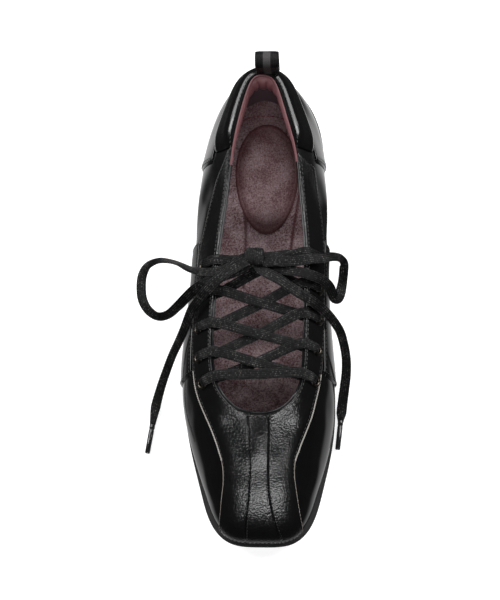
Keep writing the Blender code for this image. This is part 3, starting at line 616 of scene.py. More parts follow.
class Wardrobe:
    """Makes the shader groups once, and one material for each finish."""

    HALF = 0.5
    FOLD_SCALE = 0.16  # broad folds of leather beside its pebbles
    FOLD_HEIGHT = 0.2
    THREAD_STRETCH = 1.2  # steps along a braid for each column across it
    THREAD_ROUND = -1.8
    THREAD_GLINT = 1.8  # powers of a thread's height and of its chance, which shape its painted glint
    SPECK_GLINT = 2.2
    PATCH_SCALE = 0.14
    FIBRES = ((1.0, 0.42, 1.0), (0.42, 1.0, 1.0))
    FIBRE_TONE = 1.1
    CLOUD_TONE = 0.45
    CLOUD_SCALE = 0.05
    STIPPLE_CLOUD = 0.06

    def __init__(self) -> None:
        """Builds the four pattern groups."""
        self.made: dict[str, bpy.types.Material] = {}
        fills = {
            Pattern.GRAIN: self._grain,
            Pattern.WEAVE: self._weave,
            Pattern.HEATHER: self._heather,
            Pattern.STIPPLE: self._stipple,
        }
        self.groups = {pattern: self._group(pattern, fill) for pattern, fill in fills.items()}

    @staticmethod
    def _group(pattern: Pattern, fill: Callable) -> bpy.types.NodeTree:
        """Makes a group with a Scale input and the outputs Height and Tone.

        Args:
            pattern: the pattern that names the group.

        Returns:
            The group.
        """
        outputs = {"Height": "Float", "Tone": "Float"}
        kit = new_tree(pattern.value, "ShaderNodeTree", {"Scale": "Float"}, outputs)
        entry = kit.add("NodeGroupInput")
        height, tone = fill(kit, entry.outputs["Scale"])
        kit.add("NodeGroupOutput", Height=height, Tone=tone)
        return kit.tree

    @classmethod
    def _grain(cls, kit: NodeKit, scale: Socket) -> Sockets:
        """Adds fine pebbles with pores and broad soft folds.

        Args:
            kit: the group's kit.
            scale: pebbles in a metre.

        Returns:
            Height and tone.
        """
        place = kit.add("ShaderNodeTexCoord").outputs["Object"]
        cells = kit.add(
            "ShaderNodeTexVoronoi", {"feature": "SMOOTH_F1"}, Vector=place, Scale=scale, Smoothness=0.5
        )
        pebble = kit.math("SUBTRACT", 1.0, cells.outputs["Distance"])
        broad = kit.math("MULTIPLY", scale, cls.FOLD_SCALE)
        noise = kit.add("ShaderNodeTexNoise", Vector=place, Scale=broad, Detail=4.0, Roughness=0.62)
        folds = noise.outputs["Fac"]
        return kit.math("MULTIPLY_ADD", folds, cls.FOLD_HEIGHT, pebble), folds

    @classmethod
    def _weave(cls, kit: NodeKit, scale: Socket) -> Sockets:
        """Adds a braid: columns of short slanting threads, on the piece's own map, with glints painted into
        the tone in patches.

        Args:
            kit: the group's kit.
            scale: columns in a metre.

        Returns:
            Height and tone.
        """
        place = kit.add("ShaderNodeUVMap").outputs["UV"]
        axes = kit.add("ShaderNodeSeparateXYZ", Vector=place)
        across = kit.math("MULTIPLY", axes.outputs["X"], scale)
        column = kit.math("FLOOR", across)
        ridge = kit.math("ABSOLUTE", kit.math("SUBTRACT", kit.math("FRACT", across), cls.HALF))
        steps = kit.math("MULTIPLY", scale, cls.THREAD_STRETCH)
        along = kit.math("MULTIPLY_ADD", axes.outputs["Y"], steps, ridge)
        along = kit.math("MULTIPLY_ADD", column, cls.HALF, along)
        step = kit.math("ABSOLUTE", kit.math("SUBTRACT", kit.math("FRACT", along), cls.HALF))
        rounds = [kit.math("MULTIPLY_ADD", value, cls.THREAD_ROUND, 1.0) for value in (ridge, step)]
        height = kit.math("MULTIPLY", *rounds)
        cell = kit.add("ShaderNodeCombineXYZ", X=column, Y=kit.math("FLOOR", along)).outputs[0]
        speck = kit.add("ShaderNodeTexWhiteNoise", {"noise_dimensions": "2D"}, Vector=cell).outputs["Value"]
        broad = kit.math("MULTIPLY", scale, cls.PATCH_SCALE)
        cloud = kit.add("ShaderNodeTexNoise", Vector=place, Scale=broad)
        patch = kit.add(
            "ShaderNodeMapRange", Value=cloud.outputs["Fac"], From_Min=0.40, From_Max=0.62, To_Min=0.20
        )
        # painted glints: the tone lights the crests of some threads, in patches
        powers = (kit.math("POWER", height, cls.THREAD_GLINT), kit.math("POWER", speck, cls.SPECK_GLINT))
        return height, kit.math("MULTIPLY", kit.math("MULTIPLY", *powers), patch.outputs["Result"])

    @classmethod
    def _heather(cls, kit: NodeKit, scale: Socket) -> Sockets:
        """Adds short fibres of two tones in two directions.

        Args:
            kit: the group's kit.
            scale: fibres in a metre.

        Returns:
            Height and tone.
        """
        place = kit.add("ShaderNodeTexCoord").outputs["Object"]
        fibres = []
        for stretch in cls.FIBRES:
            mapped = kit.add("ShaderNodeMapping", Vector=place, Scale=stretch).outputs[0]
            noise = kit.add("ShaderNodeTexNoise", Vector=mapped, Scale=scale, Detail=2.0, Roughness=0.7)
            fibres.append(noise.outputs["Fac"])
        broad = kit.math("MULTIPLY", scale, cls.CLOUD_SCALE)
        cloud = kit.add("ShaderNodeTexNoise", Vector=place, Scale=broad, Detail=3.0).outputs["Fac"]
        height = kit.math("MAXIMUM", *fibres)
        blend = kit.math("MULTIPLY_ADD", height, cls.FIBRE_TONE, kit.math("MULTIPLY", cloud, cls.CLOUD_TONE))
        tone = kit.add("ShaderNodeMapRange", Value=blend, From_Min=0.70, From_Max=1.04)
        return height, tone.outputs["Result"]

    @classmethod
    def _stipple(cls, kit: NodeKit, scale: Socket) -> Sockets:
        """Adds fine moulded stipple with faint cloudy patches.

        Args:
            kit: the group's kit.
            scale: dots in a metre.

        Returns:
            Height and tone.
        """
        place = kit.add("ShaderNodeTexCoord").outputs["Object"]
        broad = kit.math("MULTIPLY", scale, cls.STIPPLE_CLOUD)
        fine, cloud = (
            kit.add("ShaderNodeTexNoise", Vector=place, Scale=size, Detail=3.0).outputs["Fac"]
            for size in (scale, broad)
        )
        return fine, cloud

    def material(self, finish: Finish) -> bpy.types.Material:
        """Gives the material of a finish.

        Args:
            finish: the look.

        Returns:
            The material, made once.
        """
        if finish.name in self.made:
            return self.made[finish.name]
        material = bpy.data.materials.new(finish.name)
        material.use_nodes = True
        kit = NodeKit(material.node_tree)
        shader = material.node_tree.nodes["Principled BSDF"]
        pattern = kit.add("ShaderNodeGroup", {"node_tree": self.groups[finish.pattern]}, Scale=finish.scale)
        height, tone = pattern.outputs["Height"], pattern.outputs["Tone"]
        colour = kit.mix(tone, (*finish.tone, 1), (*finish.accent, 1))
        # the tint attribute mixes in the tint colour: a real stripe on the webbing, wear on the eyelets,
        # painted shade on the footbed and the cushion
        if finish.tint:
            mask = kit.add("ShaderNodeAttribute", {"attribute_name": "tint"}).outputs["Fac"]
            colour = kit.mix(mask, colour, (*finish.tint, 1))
        roughness = kit.math("MULTIPLY_ADD", tone, finish.spread, finish.roughness - finish.spread / 2)
        bump = kit.add("ShaderNodeBump", Strength=finish.bump, Distance=finish.relief, Height=height)
        for name, value in {
            "Base Color": colour,
            "Roughness": roughness,
            "Normal": bump.outputs[0],
            "Metallic": finish.metallic,
            "Coat Weight": finish.coat,
            "Coat Roughness": finish.coat_roughness,
            "Sheen Weight": finish.sheen,
            "Specular IOR Level": finish.specular,
        }.items():
            kit.put(shader.inputs[name], value)
        self.made[finish.name] = material
        return material


@dataclass
class Shape:
    """A mesh in the making: points, faces, and what its material reads at each point."""

    points: Array
    faces: list
    parts: Array | None = None
    uv: Array | None = None
    tint: Array | None = None


def linked(name: str, data: bpy.types.ID) -> Thing:
    """Makes an object at the origin and links it to the scene.

    Args:
        name: the object's name.
        data: its mesh, light or camera.

    Returns:
        The object.
    """
    obj = bpy.data.objects.new(name, data)
    bpy.context.scene.collection.objects.link(obj)
    return obj


class Workshop:
    """Turns shapes into pieces, and ties finished pieces to the body."""

    def __init__(self, wardrobe: Wardrobe) -> None:
        """Keeps the wardrobe."""
        self.wardrobe = wardrobe
        self.sharp = math.radians(38)

    def piece(self, name: str, shape: Shape, *finishes: Finish) -> Thing:
        """Makes a smooth mesh object with its faces turned out.

        Args:
            name: the piece's name.
            shape: its mesh.
            finishes: its finishes, which shape.parts counts.

        Returns:
            The object, at the origin.
        """
        mesh = bpy.data.meshes.new(name)
        mesh.from_pydata(shape.points.tolist(), [], [tuple(map(int, f)) for f in shape.faces])
        if shape.parts is not None:
            mesh.polygons.foreach_set("material_index", np.asarray(shape.parts, np.int32))
        if shape.tint is not None:
            tint = mesh.attributes.new("tint", "FLOAT", "POINT")
            tint.data.foreach_set("value", shape.tint.astype(np.float32))
        if shape.uv is not None:
            corner = np.zeros(len(mesh.loops), np.int32)
            mesh.loops.foreach_get("vertex_index", corner)
            uv = shape.uv[corner].astype(np.float32).ravel()
            mesh.uv_layers.new(name="UVMap").data.foreach_set("uv", uv)
        form = bmesh.new()
        form.from_mesh(mesh)
        bmesh.ops.recalc_face_normals(form, faces=form.faces)
        form.to_mesh(mesh)
        form.free()
        mesh.shade_smooth()
        mesh.set_sharp_from_angle(angle=self.sharp)
        for finish in finishes:
            mesh.materials.append(self.wardrobe.material(finish))
        return linked(name, mesh)

    def grow(
        self, name: str, seam: Seam, edges: list, tree: bpy.types.NodeTree, values: dict[str, object]
    ) -> Thing:
        """Grows a piece on points with a node tree.

        Args:
            name: the piece's name.
            seam: the points and their up directions.
            edges: pairs of points that a line joins.
            tree: the node tree.
            values: the tree's inputs by name.

        Returns:
            The piece, as a plain mesh.
        """
        mesh = bpy.data.meshes.new(name)
        mesh.from_pydata(seam.points.tolist(), edges, [])
        ups = mesh.attributes.new("up", "FLOAT_VECTOR", "POINT")
        ups.data.foreach_set("vector", seam.ups.astype(np.float32).ravel())
        obj = linked(name, mesh)
        modifier = obj.modifiers.new(name, "NODES")
        modifier.node_group = tree
        for item in tree.interface.items_tree:
            if item.in_out == "INPUT" and item.name in values:
                modifier[item.identifier] = values[item.name]
        self.apply(obj)
        return obj

    @staticmethod
    def apply(obj: Thing) -> None:
        """Turns an object's modifiers into its plain mesh.

        Args:
            obj: the object.
        """
        graph = bpy.context.evaluated_depsgraph_get()
        mesh = bpy.data.meshes.new_from_object(obj.evaluated_get(graph), depsgraph=graph)
        obj.modifiers.clear()
        obj.data = mesh

    def cut(self, obj: Thing, cutter: Thing) -> None:
        """Cuts a helper's shape out of an object.

        Args:
            obj: the object.
            cutter: a closed helper, which stays.
        """
        boolean = obj.modifiers.new("cut", "BOOLEAN")
        boolean.operation = "DIFFERENCE"
        boolean.object = cutter
        self.apply(obj)
        obj.data.set_sharp_from_angle(angle=self.sharp)

    @staticmethod
    def settle(obj: Thing, slot: Slot, *nodes: str) -> Thing:
        """Ties a finished piece to the body.

        Args:
            obj: the piece.
            slot: not used.
            nodes: the solids that it stands for.

        Returns:
            The piece.
        """
        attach(obj, BODY)
        if nodes:
            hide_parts(*nodes)
        solids = ", ".join(nodes) or "no solid"
        LOG.info("%s: %d faces, stands for %s", obj.name, len(obj.data.polygons), solids)
        return obj


def grid_faces(rows: int, columns: int, close_rows: bool = False, close_columns: bool = False) -> list:
    """Lists the quads of a grid.

    Args:
        rows: number of rows.
        columns: points in a row.
        close_rows: whether the last row joins the first.
        close_columns: whether each row is a ring.

    Returns:
        Corner indices.
    """
    i = np.arange(rows if close_rows else rows - 1)[:, None]
    j = np.arange(columns if close_columns else columns - 1)[None, :]
    k, m = (i + 1) % rows, (j + 1) % columns
    corners = [i * columns + j, k * columns + j, k * columns + m, i * columns + m]
    quads = np.stack([np.broadcast_to(c, (i.size, j.size)) for c in corners], axis=-1)
    return quads.reshape(-1, len(corners)).tolist()


def shell(outer: Array, inner: Array) -> Shape:
    """Closes two grids of one size into a solid skin.

    Args:
        outer: points of the outer face, row by row.
        inner: points of the inner face.

    Returns:
        The closed shape.
    """
    rows, columns = outer.shape[:2]
    count = rows * columns
    front = grid_faces(rows, columns)
    back = [[c + count for c in reversed(face)] for face in front]
    index = np.arange(count).reshape(rows, columns)
    border = np.concatenate([index[:-1, 0], index[-1, :-1], index[:0:-1, -1], index[0, :0:-1]])
    rim = [[a, b, b + count, a + count] for a, b in zip(border, np.roll(border, -1))]
    return Shape(np.concatenate([outer.reshape(-1, 3), inner.reshape(-1, 3)]), front + back + rim)


def stack(rings: Sequence[Array]) -> Shape:
    """Closes rings into a solid, with caps straight across between its two sides.

    Args:
        rings: rings of points, from the bottom to the top.

    Returns:
        The closed shape.
    """
    count = len(rings[0])
    faces = grid_faces(len(rings), count, close_columns=True)
    for first in (0, (len(rings) - 1) * count):
        for i in range(count // 2):
            corners = (i, i + 1, count - i - 1, (count - i) % count)
            faces.append([first + c for c in dict.fromkeys(corners)])
    return Shape(np.concatenate(rings), faces)


def lathe(profile: Array, segments: int) -> Shape:
    """Turns a closed profile about Z.

    Args:
        profile: rows of radius and height.
        segments: steps round the axis.

    Returns:
        The closed shape.
    """
    turn = np.linspace(0, 2 * math.pi, segments, endpoint=False)
    points = np.stack([
        profile[None, :, 0] * np.cos(turn)[:, None],
        profile[None, :, 0] * np.sin(turn)[:, None],
        np.broadcast_to(profile[None, :, 1], (segments, len(profile))),
    ], axis=-1)
    return Shape(points.reshape(-1, 3), grid_faces(segments, len(profile), True, True))


class Seam(NamedTuple):
    """A line on a piece and the up direction along it."""

    points: Array
    ups: Array


@dataclass(frozen=True)
class Thread:
    """A kind of stitch."""

    name: str
    finish: Finish
    pitch: float
    length: float
    radius: float
    slant: float = 0.0


class Threads(Enum):
    """The threads that the shoe is sewn with."""

    FINE = Thread("fine_stitches", BLACK_THREAD, 0.0022, 0.0017, 0.00019)
    # the topline stitches are dark grey, partly painted glint on black thread
    TOPLINE = Thread("topline_stitches", DARK_THREAD, 0.0022, 0.0017, 0.00021)
    ROPE = Thread("edge_rope", GREY_THREAD, 0.0011, 0.0018, 0.00056, math.radians(38))
    DARK_ROPE = Thread("dark_rope", DARK_THREAD, 0.0010, 0.0016, 0.00036, math.radians(38))
    EDGE = Thread("cut_edge", BROWN_EDGE, 0.0005, 0.0013, 0.00046)
    RED = Thread("footbed_stitches", RED_THREAD, 0.0026, 0.0021, 0.00034)


class Stitching:
    """Rows of stitches, laid along seams by one node tree."""

    SIZES = ("Pitch", "Length", "Radius", "Slant")

    def __init__(self, workshop: Workshop) -> None:
        """Builds the tree.

        Args:
            workshop: makes the pieces.
        """
        self.workshop = workshop
        self.seams: dict[Threads, list[Seam]] = {thread: [] for thread in Threads}
        self.tree = self._tree()

    @staticmethod
    def _tree() -> bpy.types.NodeTree:
        """Makes the tree: an ellipsoid at each step of a line, along it and slanted, realized and dressed.

        Returns:
            The tree.
        """
        sizes = dict.fromkeys(Stitching.SIZES, "Float")
        inputs = {"Geometry": "Geometry", **sizes, "Material": "Material"}
        kit = new_tree("stitch_row", "GeometryNodeTree", inputs, {"Geometry": "Geometry"})
        entry = kit.add("NodeGroupInput").outputs
        line = kit.add("GeometryNodeMeshToCurve", Mesh=entry["Geometry"])
        steps = kit.add(
            "GeometryNodeResampleCurve", {"mode": "LENGTH"}, Curve=line.outputs[0], Length=entry["Pitch"]
        )
        up = kit.add("GeometryNodeInputNamedAttribute", {"data_type": "FLOAT_VECTOR"}, Name="up")
        tangent = kit.add("GeometryNodeInputTangent").outputs[0]
        flat = kit.add("FunctionNodeAlignRotationToVector", {"axis": "Z"}, Vector=up.outputs["Attribute"])
        along = kit.add(
            "FunctionNodeAlignRotationToVector", {"axis": "X", "pivot_axis": "Z"},
            Rotation=flat.outputs[0], Vector=tangent,
        )
        slant = kit.add("FunctionNodeAxisAngleToRotation", Axis=(0, 0, 1), Angle=entry["Slant"])
        turned = kit.add(
            "FunctionNodeRotateRotation", {"rotation_space": "LOCAL"},
            Rotation=along.outputs[0], Rotate_By=slant.outputs[0],
        )
        bead = kit.add("GeometryNodeMeshUVSphere", Segments=8, Rings=5, Radius=1.0)
        half = kit.math("MULTIPLY", entry["Length"], 0.5)
        size = kit.add("ShaderNodeCombineXYZ", X=half, Y=entry["Radius"], Z=entry["Radius"])
        stitch = kit.add("GeometryNodeTransform", Geometry=bead.outputs[0], Scale=size.outputs[0])
        real = kit.copies(steps.outputs[0], stitch.outputs[0], turned.outputs[0])
        smooth = kit.add("GeometryNodeSetShadeSmooth", Geometry=real)
        dressed = kit.add("GeometryNodeSetMaterial", Geometry=smooth.outputs[0], Material=entry["Material"])
        kit.add("NodeGroupOutput", Geometry=dressed.outputs[0])
        return kit.tree

    def add(self, thread: Threads, *seams: Seam) -> None:
        """Keeps seams for a thread."""
        self.seams[thread].extend(seams)

    def build(self) -> None:
        """Sews every seam, one piece for each thread."""
        for thread, seams in self.seams.items():
            kind: Thread = thread.value
            points = np.concatenate([seam.points for seam in seams])
            ups = np.concatenate([seam.ups for seam in seams])
            starts = np.cumsum([0] + [len(seam.points) for seam in seams])
            edges = [(i, i + 1) for a, b in zip(starts, starts[1:]) for i in range(a, b - 1)]
            values = {size: getattr(kind, size.lower()) for size in self.SIZES}
            values["Material"] = self.workshop.wardrobe.material(kind.finish)
            sewn = self.workshop.grow(kind.name, Seam(points, ups), edges, self.tree, values)
            self.workshop.settle(sewn, Slot.FOOTBED if thread is Threads.RED else Slot.LEATHER)


class Side(Enum):
    """The four edges of a panel."""

    LOW = "low"
    HIGH = "high"
    START = "start"
    END = "end"


class EdgeRow(NamedTuple):
    """A line across a panel, from its lower to its upper edge, and the lines up to the next row."""

    low_place: float
    low_rise: float
    high_place: float
    lines: int
    high_rise: float = 0.995


@dataclass
class Panel:
    """A layer of leather on the last between a lower and an upper edge."""

    last: Last
    rows: tuple[EdgeRow, ...]
    thickness: float
    edge: float = 0.0006
    top_edge: float = 0.0020
    end_edge: float = 0.0  # like the lower edge if 0
    swell: float = 0.0
    columns: int = 40
    base: float = 0.00005
    ease: float = 0.012  # over which a swell dies away at the ends
    least: float = 0.02  # share of its edge's width at which the panel is cut off
    inside: Callable[[Array], Array] | None = None  # depth of the wall, for a panel inside it
    gain: Table = ()  # shares of the height by place
    lean: Table = ()  # shares of a turn towards the toe, for padding across the back
    trough: Callable[[Array], Array] | None = None
    top: Array = field(init=False)
    ups: Array = field(init=False)
    reach: dict[Side, Array] = field(init=False)

    def shape(self) -> Shape:
        """Works out the panel's skin.

        Returns:
            The closed shape; top, ups and reach are kept for the seams.
        """
        table = np.array([(row.low_place, row.low_rise, row.high_place, row.high_rise) for row in self.rows])
        lines = smooth_curve(table, [row.lines for row in self.rows[:-1]])
        share = (1 - np.cos(np.linspace(0, math.pi, self.columns))) / 2
        place = lines[:, 0, None] + (lines[:, 2] - lines[:, 0])[:, None] * share
        rise = lines[:, 1, None] + (lines[:, 3] - lines[:, 1])[:, None] * share
        foot = self.last.over(place, rise, 0.0)
        self.ups = self.last.normal(place, rise) * (-1 if self.inside else 1)
        if self.lean:
            self.ups = unit(self.ups - fade(self.lean, place)[..., None] * HEELWARD)
        base = self.base + (self.inside(rise) if self.inside else np.zeros(rise.shape))
        up_run = np.cumsum(np.linalg.norm(np.diff(foot, axis=1, prepend=foot[:, :1]), axis=2), axis=1)
        on_run = np.cumsum(np.linalg.norm(np.diff(foot, axis=0, prepend=foot[:1]), axis=2), axis=0)
        self.reach = {
            Side.LOW: up_run,
            Side.HIGH: up_run[:, -1:] - up_run,
            Side.START: on_run,
            Side.END: on_run[-1:] - on_run,
        }
        height = np.full(place.shape, self.thickness)
        widths = {Side.LOW: self.edge, Side.HIGH: self.top_edge}
        for side, distance in self.reach.items():
            near = np.clip(distance / widths.get(side, self.end_edge or self.edge), self.least, 1)
            height *= np.sqrt(near * (2 - near))
        ends = np.minimum(self.reach[Side.START], self.reach[Side.END])
        height += self.swell * np.sin(math.pi * share) * np.clip(ends / self.ease, 0, 1)
        if self.gain:
            height *= fade(self.gain, place)
        if self.trough:
            height += self.trough(foot)
        self.top = foot + self.ups * (base + np.maximum(height, self.base))[..., None]
        return shell(self.top, foot + self.ups * base[..., None])

    def seam(self, side: Side, inset: float, lift: float = 0.0001) -> Seam:
        """Gives the line at a distance from one edge.

        Args:
            side: the edge.
            inset: distance from it.
            lift: height over the panel.

        Returns:
            The line on the panel's top face.
        """
        distance, top, ups = self.reach[side], self.top, self.ups
        if side in (Side.START, Side.END):
            distance, top, ups = distance.T, top.swapaxes(0, 1), ups.swapaxes(0, 1)
        if side in (Side.HIGH, Side.END):
            distance, top, ups = distance[:, ::-1], top[:, ::-1], ups[:, ::-1]
        points, directions = [], []
        for run, line, up in zip(distance, top, ups):
            if run[-1] > inset:
                points.append([np.interp(inset, run, line[:, k]) for k in range(3)])
                directions.append(up[np.searchsorted(run, inset)])
        return Seam(np.array(points) + np.array(directions) * lift, np.array(directions))


def level_rows(
    start: float, end: float, low: float, high: Pair, lines: int, least: int = 3
) -> tuple[EdgeRow, ...]:
    """Gives the rows of a panel between two places.

    Args:
        start: the place where it starts.
        end: the place where it ends.
        low: rise of its lower edge.
        high: rise of its upper edge at its start and at its end.
        lines: lines from one row to the next.
        least: fewest rows.

    Returns:
        The rows, about one for each row of the last.
    """
    rows = []
    for share in np.linspace(0, 1, max(least, round(abs(end - start)) + 1)):
        place = start + (end - start) * share
        rows.append(EdgeRow(place, low, place, lines, high[0] + (high[1] - high[0]) * share))
    return tuple(rows)


VAMP_LATERAL = tuple(EdgeRow(*row) for row in (
    (4.00, 0.955, 3.96, 10), (4.30, 0.870, 4.25, 10), (4.65, 0.780, 4.60, 12), (5.15, 0.720, 5.10, 12),
    (5.65, 0.670, 5.60, 12), (6.23, 0.605, 6.20, 12), (6.85, 0.605, 6.85, 12), (7.43, 0.630, 7.45, 12),
    (7.95, 0.650, 7.95, 12), (8.47, 0.690, 8.50, 12), (9.05, 0.720, 9.15, 14), (9.73, 0.740, 9.80, 14),
    (10.33, 0.730, 10.40, 18), (11.12, 0.690, 11.10, 16), (11.58, 0.655, 11.55, 14),
    (11.85, 0.600, 11.85, 12), (12.03, 0.510, 12.10, 14), (12.22, 0.350, 12.35, 14),
    (12.33, 0.160, 12.52, 12), (12.42, 0.045, 12.66, 50), (13.15, 0.030, 13.25, 60),
))
VAMP_MEDIAL = tuple(EdgeRow(*row) for row in (
    (4.30, 0.680, 4.10, 12), (4.80, 0.665, 4.65, 12), (5.25, 0.650, 5.20, 12), (5.88, 0.620, 5.85, 12),
    (6.45, 0.610, 6.45, 14), (7.40, 0.640, 7.40, 14), (8.02, 0.670, 8.05, 12), (8.65, 0.730, 8.70, 12),
    (9.35, 0.765, 9.45, 16), (10.40, 0.730, 10.45, 18), (11.22, 0.700, 11.20, 16),
    (11.72, 0.670, 11.65, 12), (11.98, 0.600, 11.95, 12), (12.17, 0.490, 12.20, 14),
    (12.30, 0.320, 12.42, 14), (12.36, 0.140, 12.58, 12), (12.44, 0.045, 12.70, 50),
    (13.15, 0.030, 13.25, 60),
))
# the two seams down the vamp in millimetres: along from the heel, and across at the outer and the inner one
VAMP_SEAMS = (
    (190.0, -7.0, 4.2), (205.0, -6.0, 4.5), (222.7, -5.4, 3.9), (234.0, -5.8, 4.5), (244.5, -7.4, 6.5),
    (250.6, -8.0, 8.5), (256.0, -8.2, 10.8),
)


def vamp_rows() -> tuple[EdgeRow, ...]:
    """Joins the outer and the inner rows of the vamp panel over the toe.

    Returns:
        The rows, from the outer side's end to the inner side's.
    """
    back = []
    for row, after in zip(VAMP_MEDIAL[::-1], (*VAMP_MEDIAL[-2::-1], VAMP_MEDIAL[0])):
        back.append(EdgeRow(ROUND - row.low_place, row.low_rise, ROUND - row.high_place, after.lines))
    tip = VAMP_MEDIAL[-1]
    return (*VAMP_LATERAL, EdgeRow(TOE, tip.low_rise, TOE, tip.lines), *back)


@dataclass
class Leather:
    """The upper, its overlays and its lining."""

    last: Last
    workshop: Workshop
    stitching: Stitching
    holes: Thing
    wall: float = 0.0020
    rim: float = 0.0011
    rim_from: float = 0.80
    lining_end: float = 4.35
    panel: float = 0.0013
    overlay: float = 0.0010
    overlay_low: float = 0.04
    overlay_edge: float = 0.0006
    seam_width: float = 0.00030
    seam_depth: float = 0.00040
    seam_ridge: Pair = (0.2, 2.2)
    seam_stitch: float = 0.0009
    seam_steps: int = 12
    places_per_row: int = 13
    rises: int = 52
    roll_steps: int = 9
    stitch_inset: float = 0.0017
    stitch_lift: float = 0.0001
    topline_inset: float = 0.0012
    collar_inset: float = 0.0006
    folds: tuple[float, ...] = (-0.0068, -0.0026, 0.0030, 0.0072)
    fold_width: float = 0.0010
    fold_depth: float = 0.0007
    fold_place: float = 0.1080
    throat: float = 0.1935
    pale_from: float = 0.1700
    rope_end: float = 0.2160
    tip_height: float = 0.0015  # over the panel's lowest point, where its edge has no cord
    # by place from the back of the heel: the lining's lower edge, its padding, the cloth's, and their turn
    lining_low: Table = ((0.0, 0.75), (1.6, 0.77), (3.3, 0.84), (4.35, 0.93))
    lining_gain: Table = ((0.0, 1.0), (0.7, 0.95), (1.2, 0.75), (1.8, 0.38), (3.4, 0.38), (4.35, 0.2))
    back_gain: Table = ((0.0, 1.0), (0.7, 1.0), (1.2, 0.8), (1.8, 0.4), (2.4, 0.05))
    back_lean: Table = ((0.0, 1.0), (1.2, 1.0), (2.2, 0.0))

    def build(self) -> None:
        """Makes every leather piece and its seams."""
        self.make_upper()
        self.make_vamp()
        self.make_saddles()
        self.make_heel()
        self.make_lining()

    def make_upper(self) -> None:
        """The hollow wall: outer face, rolled topline and lining side, in one closed skin."""
        last = self.last
        place = (np.arange(ROUND * self.places_per_row) / self.places_per_row)[:, None]
        rise = np.linspace(0, 1, self.rises)[None, :]
        outer = last.over(place, rise, np.zeros((1, 1)))
        inner = last.over(place, rise[:, ::-1], -self.wall_at(rise[:, ::-1]))
        rim, up, out = last.over(place, 1.0, -self.rim / 2), last.upward(place, 1.0), last.normal(place, 1.0)
        turn = np.linspace(0, math.pi, self.roll_steps)[1:-1][None, :, None]
        roll = rim + (out * np.cos(turn) + up * np.sin(turn)) * self.rim / 2
        rings = np.concatenate([outer, roll, inner], axis=1)
        rows, columns = rings.shape[:2]
        faces = grid_faces(rows, columns, True, True)
        column = np.arange(columns)[None, :]
        collar = np.minimum(place, ROUND - place) < self.lining_end
        lined = np.broadcast_to(column >= self.rises + turn.size - 1, (rows, columns))
        rolled = collar & (column >= self.rises - 1)
        parts = np.where(lined, 1, np.where(rolled, 2, 0))
        upper = self.workshop.piece(
            "upper_shell", Shape(rings.reshape(-1, 3), faces, parts=parts.reshape(-1)),
            UPPER_LEATHER, LINING_CLOTH, LINING_LEATHER,
        )
        self.workshop.cut(upper, self.holes)
        self.workshop.settle(upper, Slot.LEATHER, "upper")

    def wall_at(self, rise: Array) -> Array:
        """Gives the wall's thickness at a rise, which falls towards the topline."""
        share = np.clip((rise - self.rim_from) / (1 - self.rim_from), 0, 1)
        return self.wall + (self.rim - self.wall) * share**2 * (3 - 2 * share)

    def vamp_trough(self, points: Array) -> Array:
        """Gives the depth of the two sewn seams down the vamp.

        Args:
            points: world points of the panel.

        Returns:
            Heights to add, below zero in the seams.
        """
        along = self.last.length / 2 - points[..., 1]
        across = points[..., 0] - self.last.axis
        table = np.array(VAMP_SEAMS) * MM
        depth = np.zeros(along.shape)
        for column in (1, 2):
            gap = np.abs(across - np.interp(along, table[:, 0], table[:, column])) / self.seam_width
            depth += np.where(along > table[0, 0], self.seam_depth * trough(gap, *self.seam_ridge), 0)
        return depth

    def make_vamp(self) -> None:
        """The panel along the eyelets and down the toe, with its rope edge and seams."""
        panel = Panel(
            self.last, vamp_rows(), self.panel, top_edge=0.0005, columns=44, trough=self.vamp_trough
        )
        vamp = self.workshop.piece("vamp_leather", panel.shape(), VAMP_LEATHER)
        self.workshop.cut(vamp, self.holes)
        self.workshop.settle(vamp, Slot.LEATHER, "vamp_panel")
        self.trim_edge(panel)
        self.stitching.add(Threads.FINE, panel.seam(Side.LOW, self.stitch_inset))
        self.stitching.add(Threads.TOPLINE, panel.seam(Side.HIGH, self.topline_inset))
        along, *seams = (np.array(VAMP_SEAMS) * MM).T
        for across in seams:
            self.stitching.add(Threads.FINE, self.drape(panel, along, across + self.seam_stitch))

    def trim_edge(self, panel: Panel) -> None:
        """Cords the vamp's lower edge, dark and then pale, and leaves it a bare cut edge along the toe box.

        Args:
            panel: the vamp panel, shaped.
        """
        edge = panel.seam(Side.LOW, inset=0.0001, lift=0.0002)
        along = self.last.length / 2 - edge.points[:, 1]
        pale, bare = (np.flatnonzero(along > start) for start in (self.pale_from, self.rope_end))
        first, last = bare[0], bare[-1] + 1
        front = np.flatnonzero(edge.points[:, 2] < panel.top[..., 2].min() + self.tip_height)
        for thread, start, stop in (
            (Threads.DARK_ROPE, 0, pale[0]),
            (Threads.DARK_ROPE, pale[-1], len(edge.points)),
            (Threads.ROPE, pale[0], first),
            (Threads.ROPE, last, pale[-1]),
            (Threads.EDGE, first, front[0]),
            (Threads.EDGE, front[-1], last),
        ):
            self.stitching.add(thread, Seam(edge.points[start:stop], edge.ups[start:stop]))

    def drape(self, panel: Panel, along: Array, across: Array) -> Seam:
        """Lays a line, given in plan, on a panel.

        Args:
            panel: the panel, shaped.
            along: distances from the heel.
            across: distances from the heel-to-toe line.

        Returns:
            The line on the panel's top face.
        """
        line = smooth_curve(np.stack([along, across], axis=1), self.seam_steps)
        top, ups = panel.top.reshape(-1, 3), panel.ups.reshape(-1, 3)
        flat = np.stack([self.last.length / 2 - top[:, 1], top[:, 0] - self.last.axis], axis=-1)
        near = np.argmin(((line[:, None, :] - flat[None, :, :]) ** 2).sum(-1), axis=1)
        points = self.last.spot(line[:, 0], line[:, 1], top[near, 2])
        keep = line[:, 0] > self.throat
        return Seam(points[keep] + ups[near][keep] * self.stitch_lift, ups[near][keep])

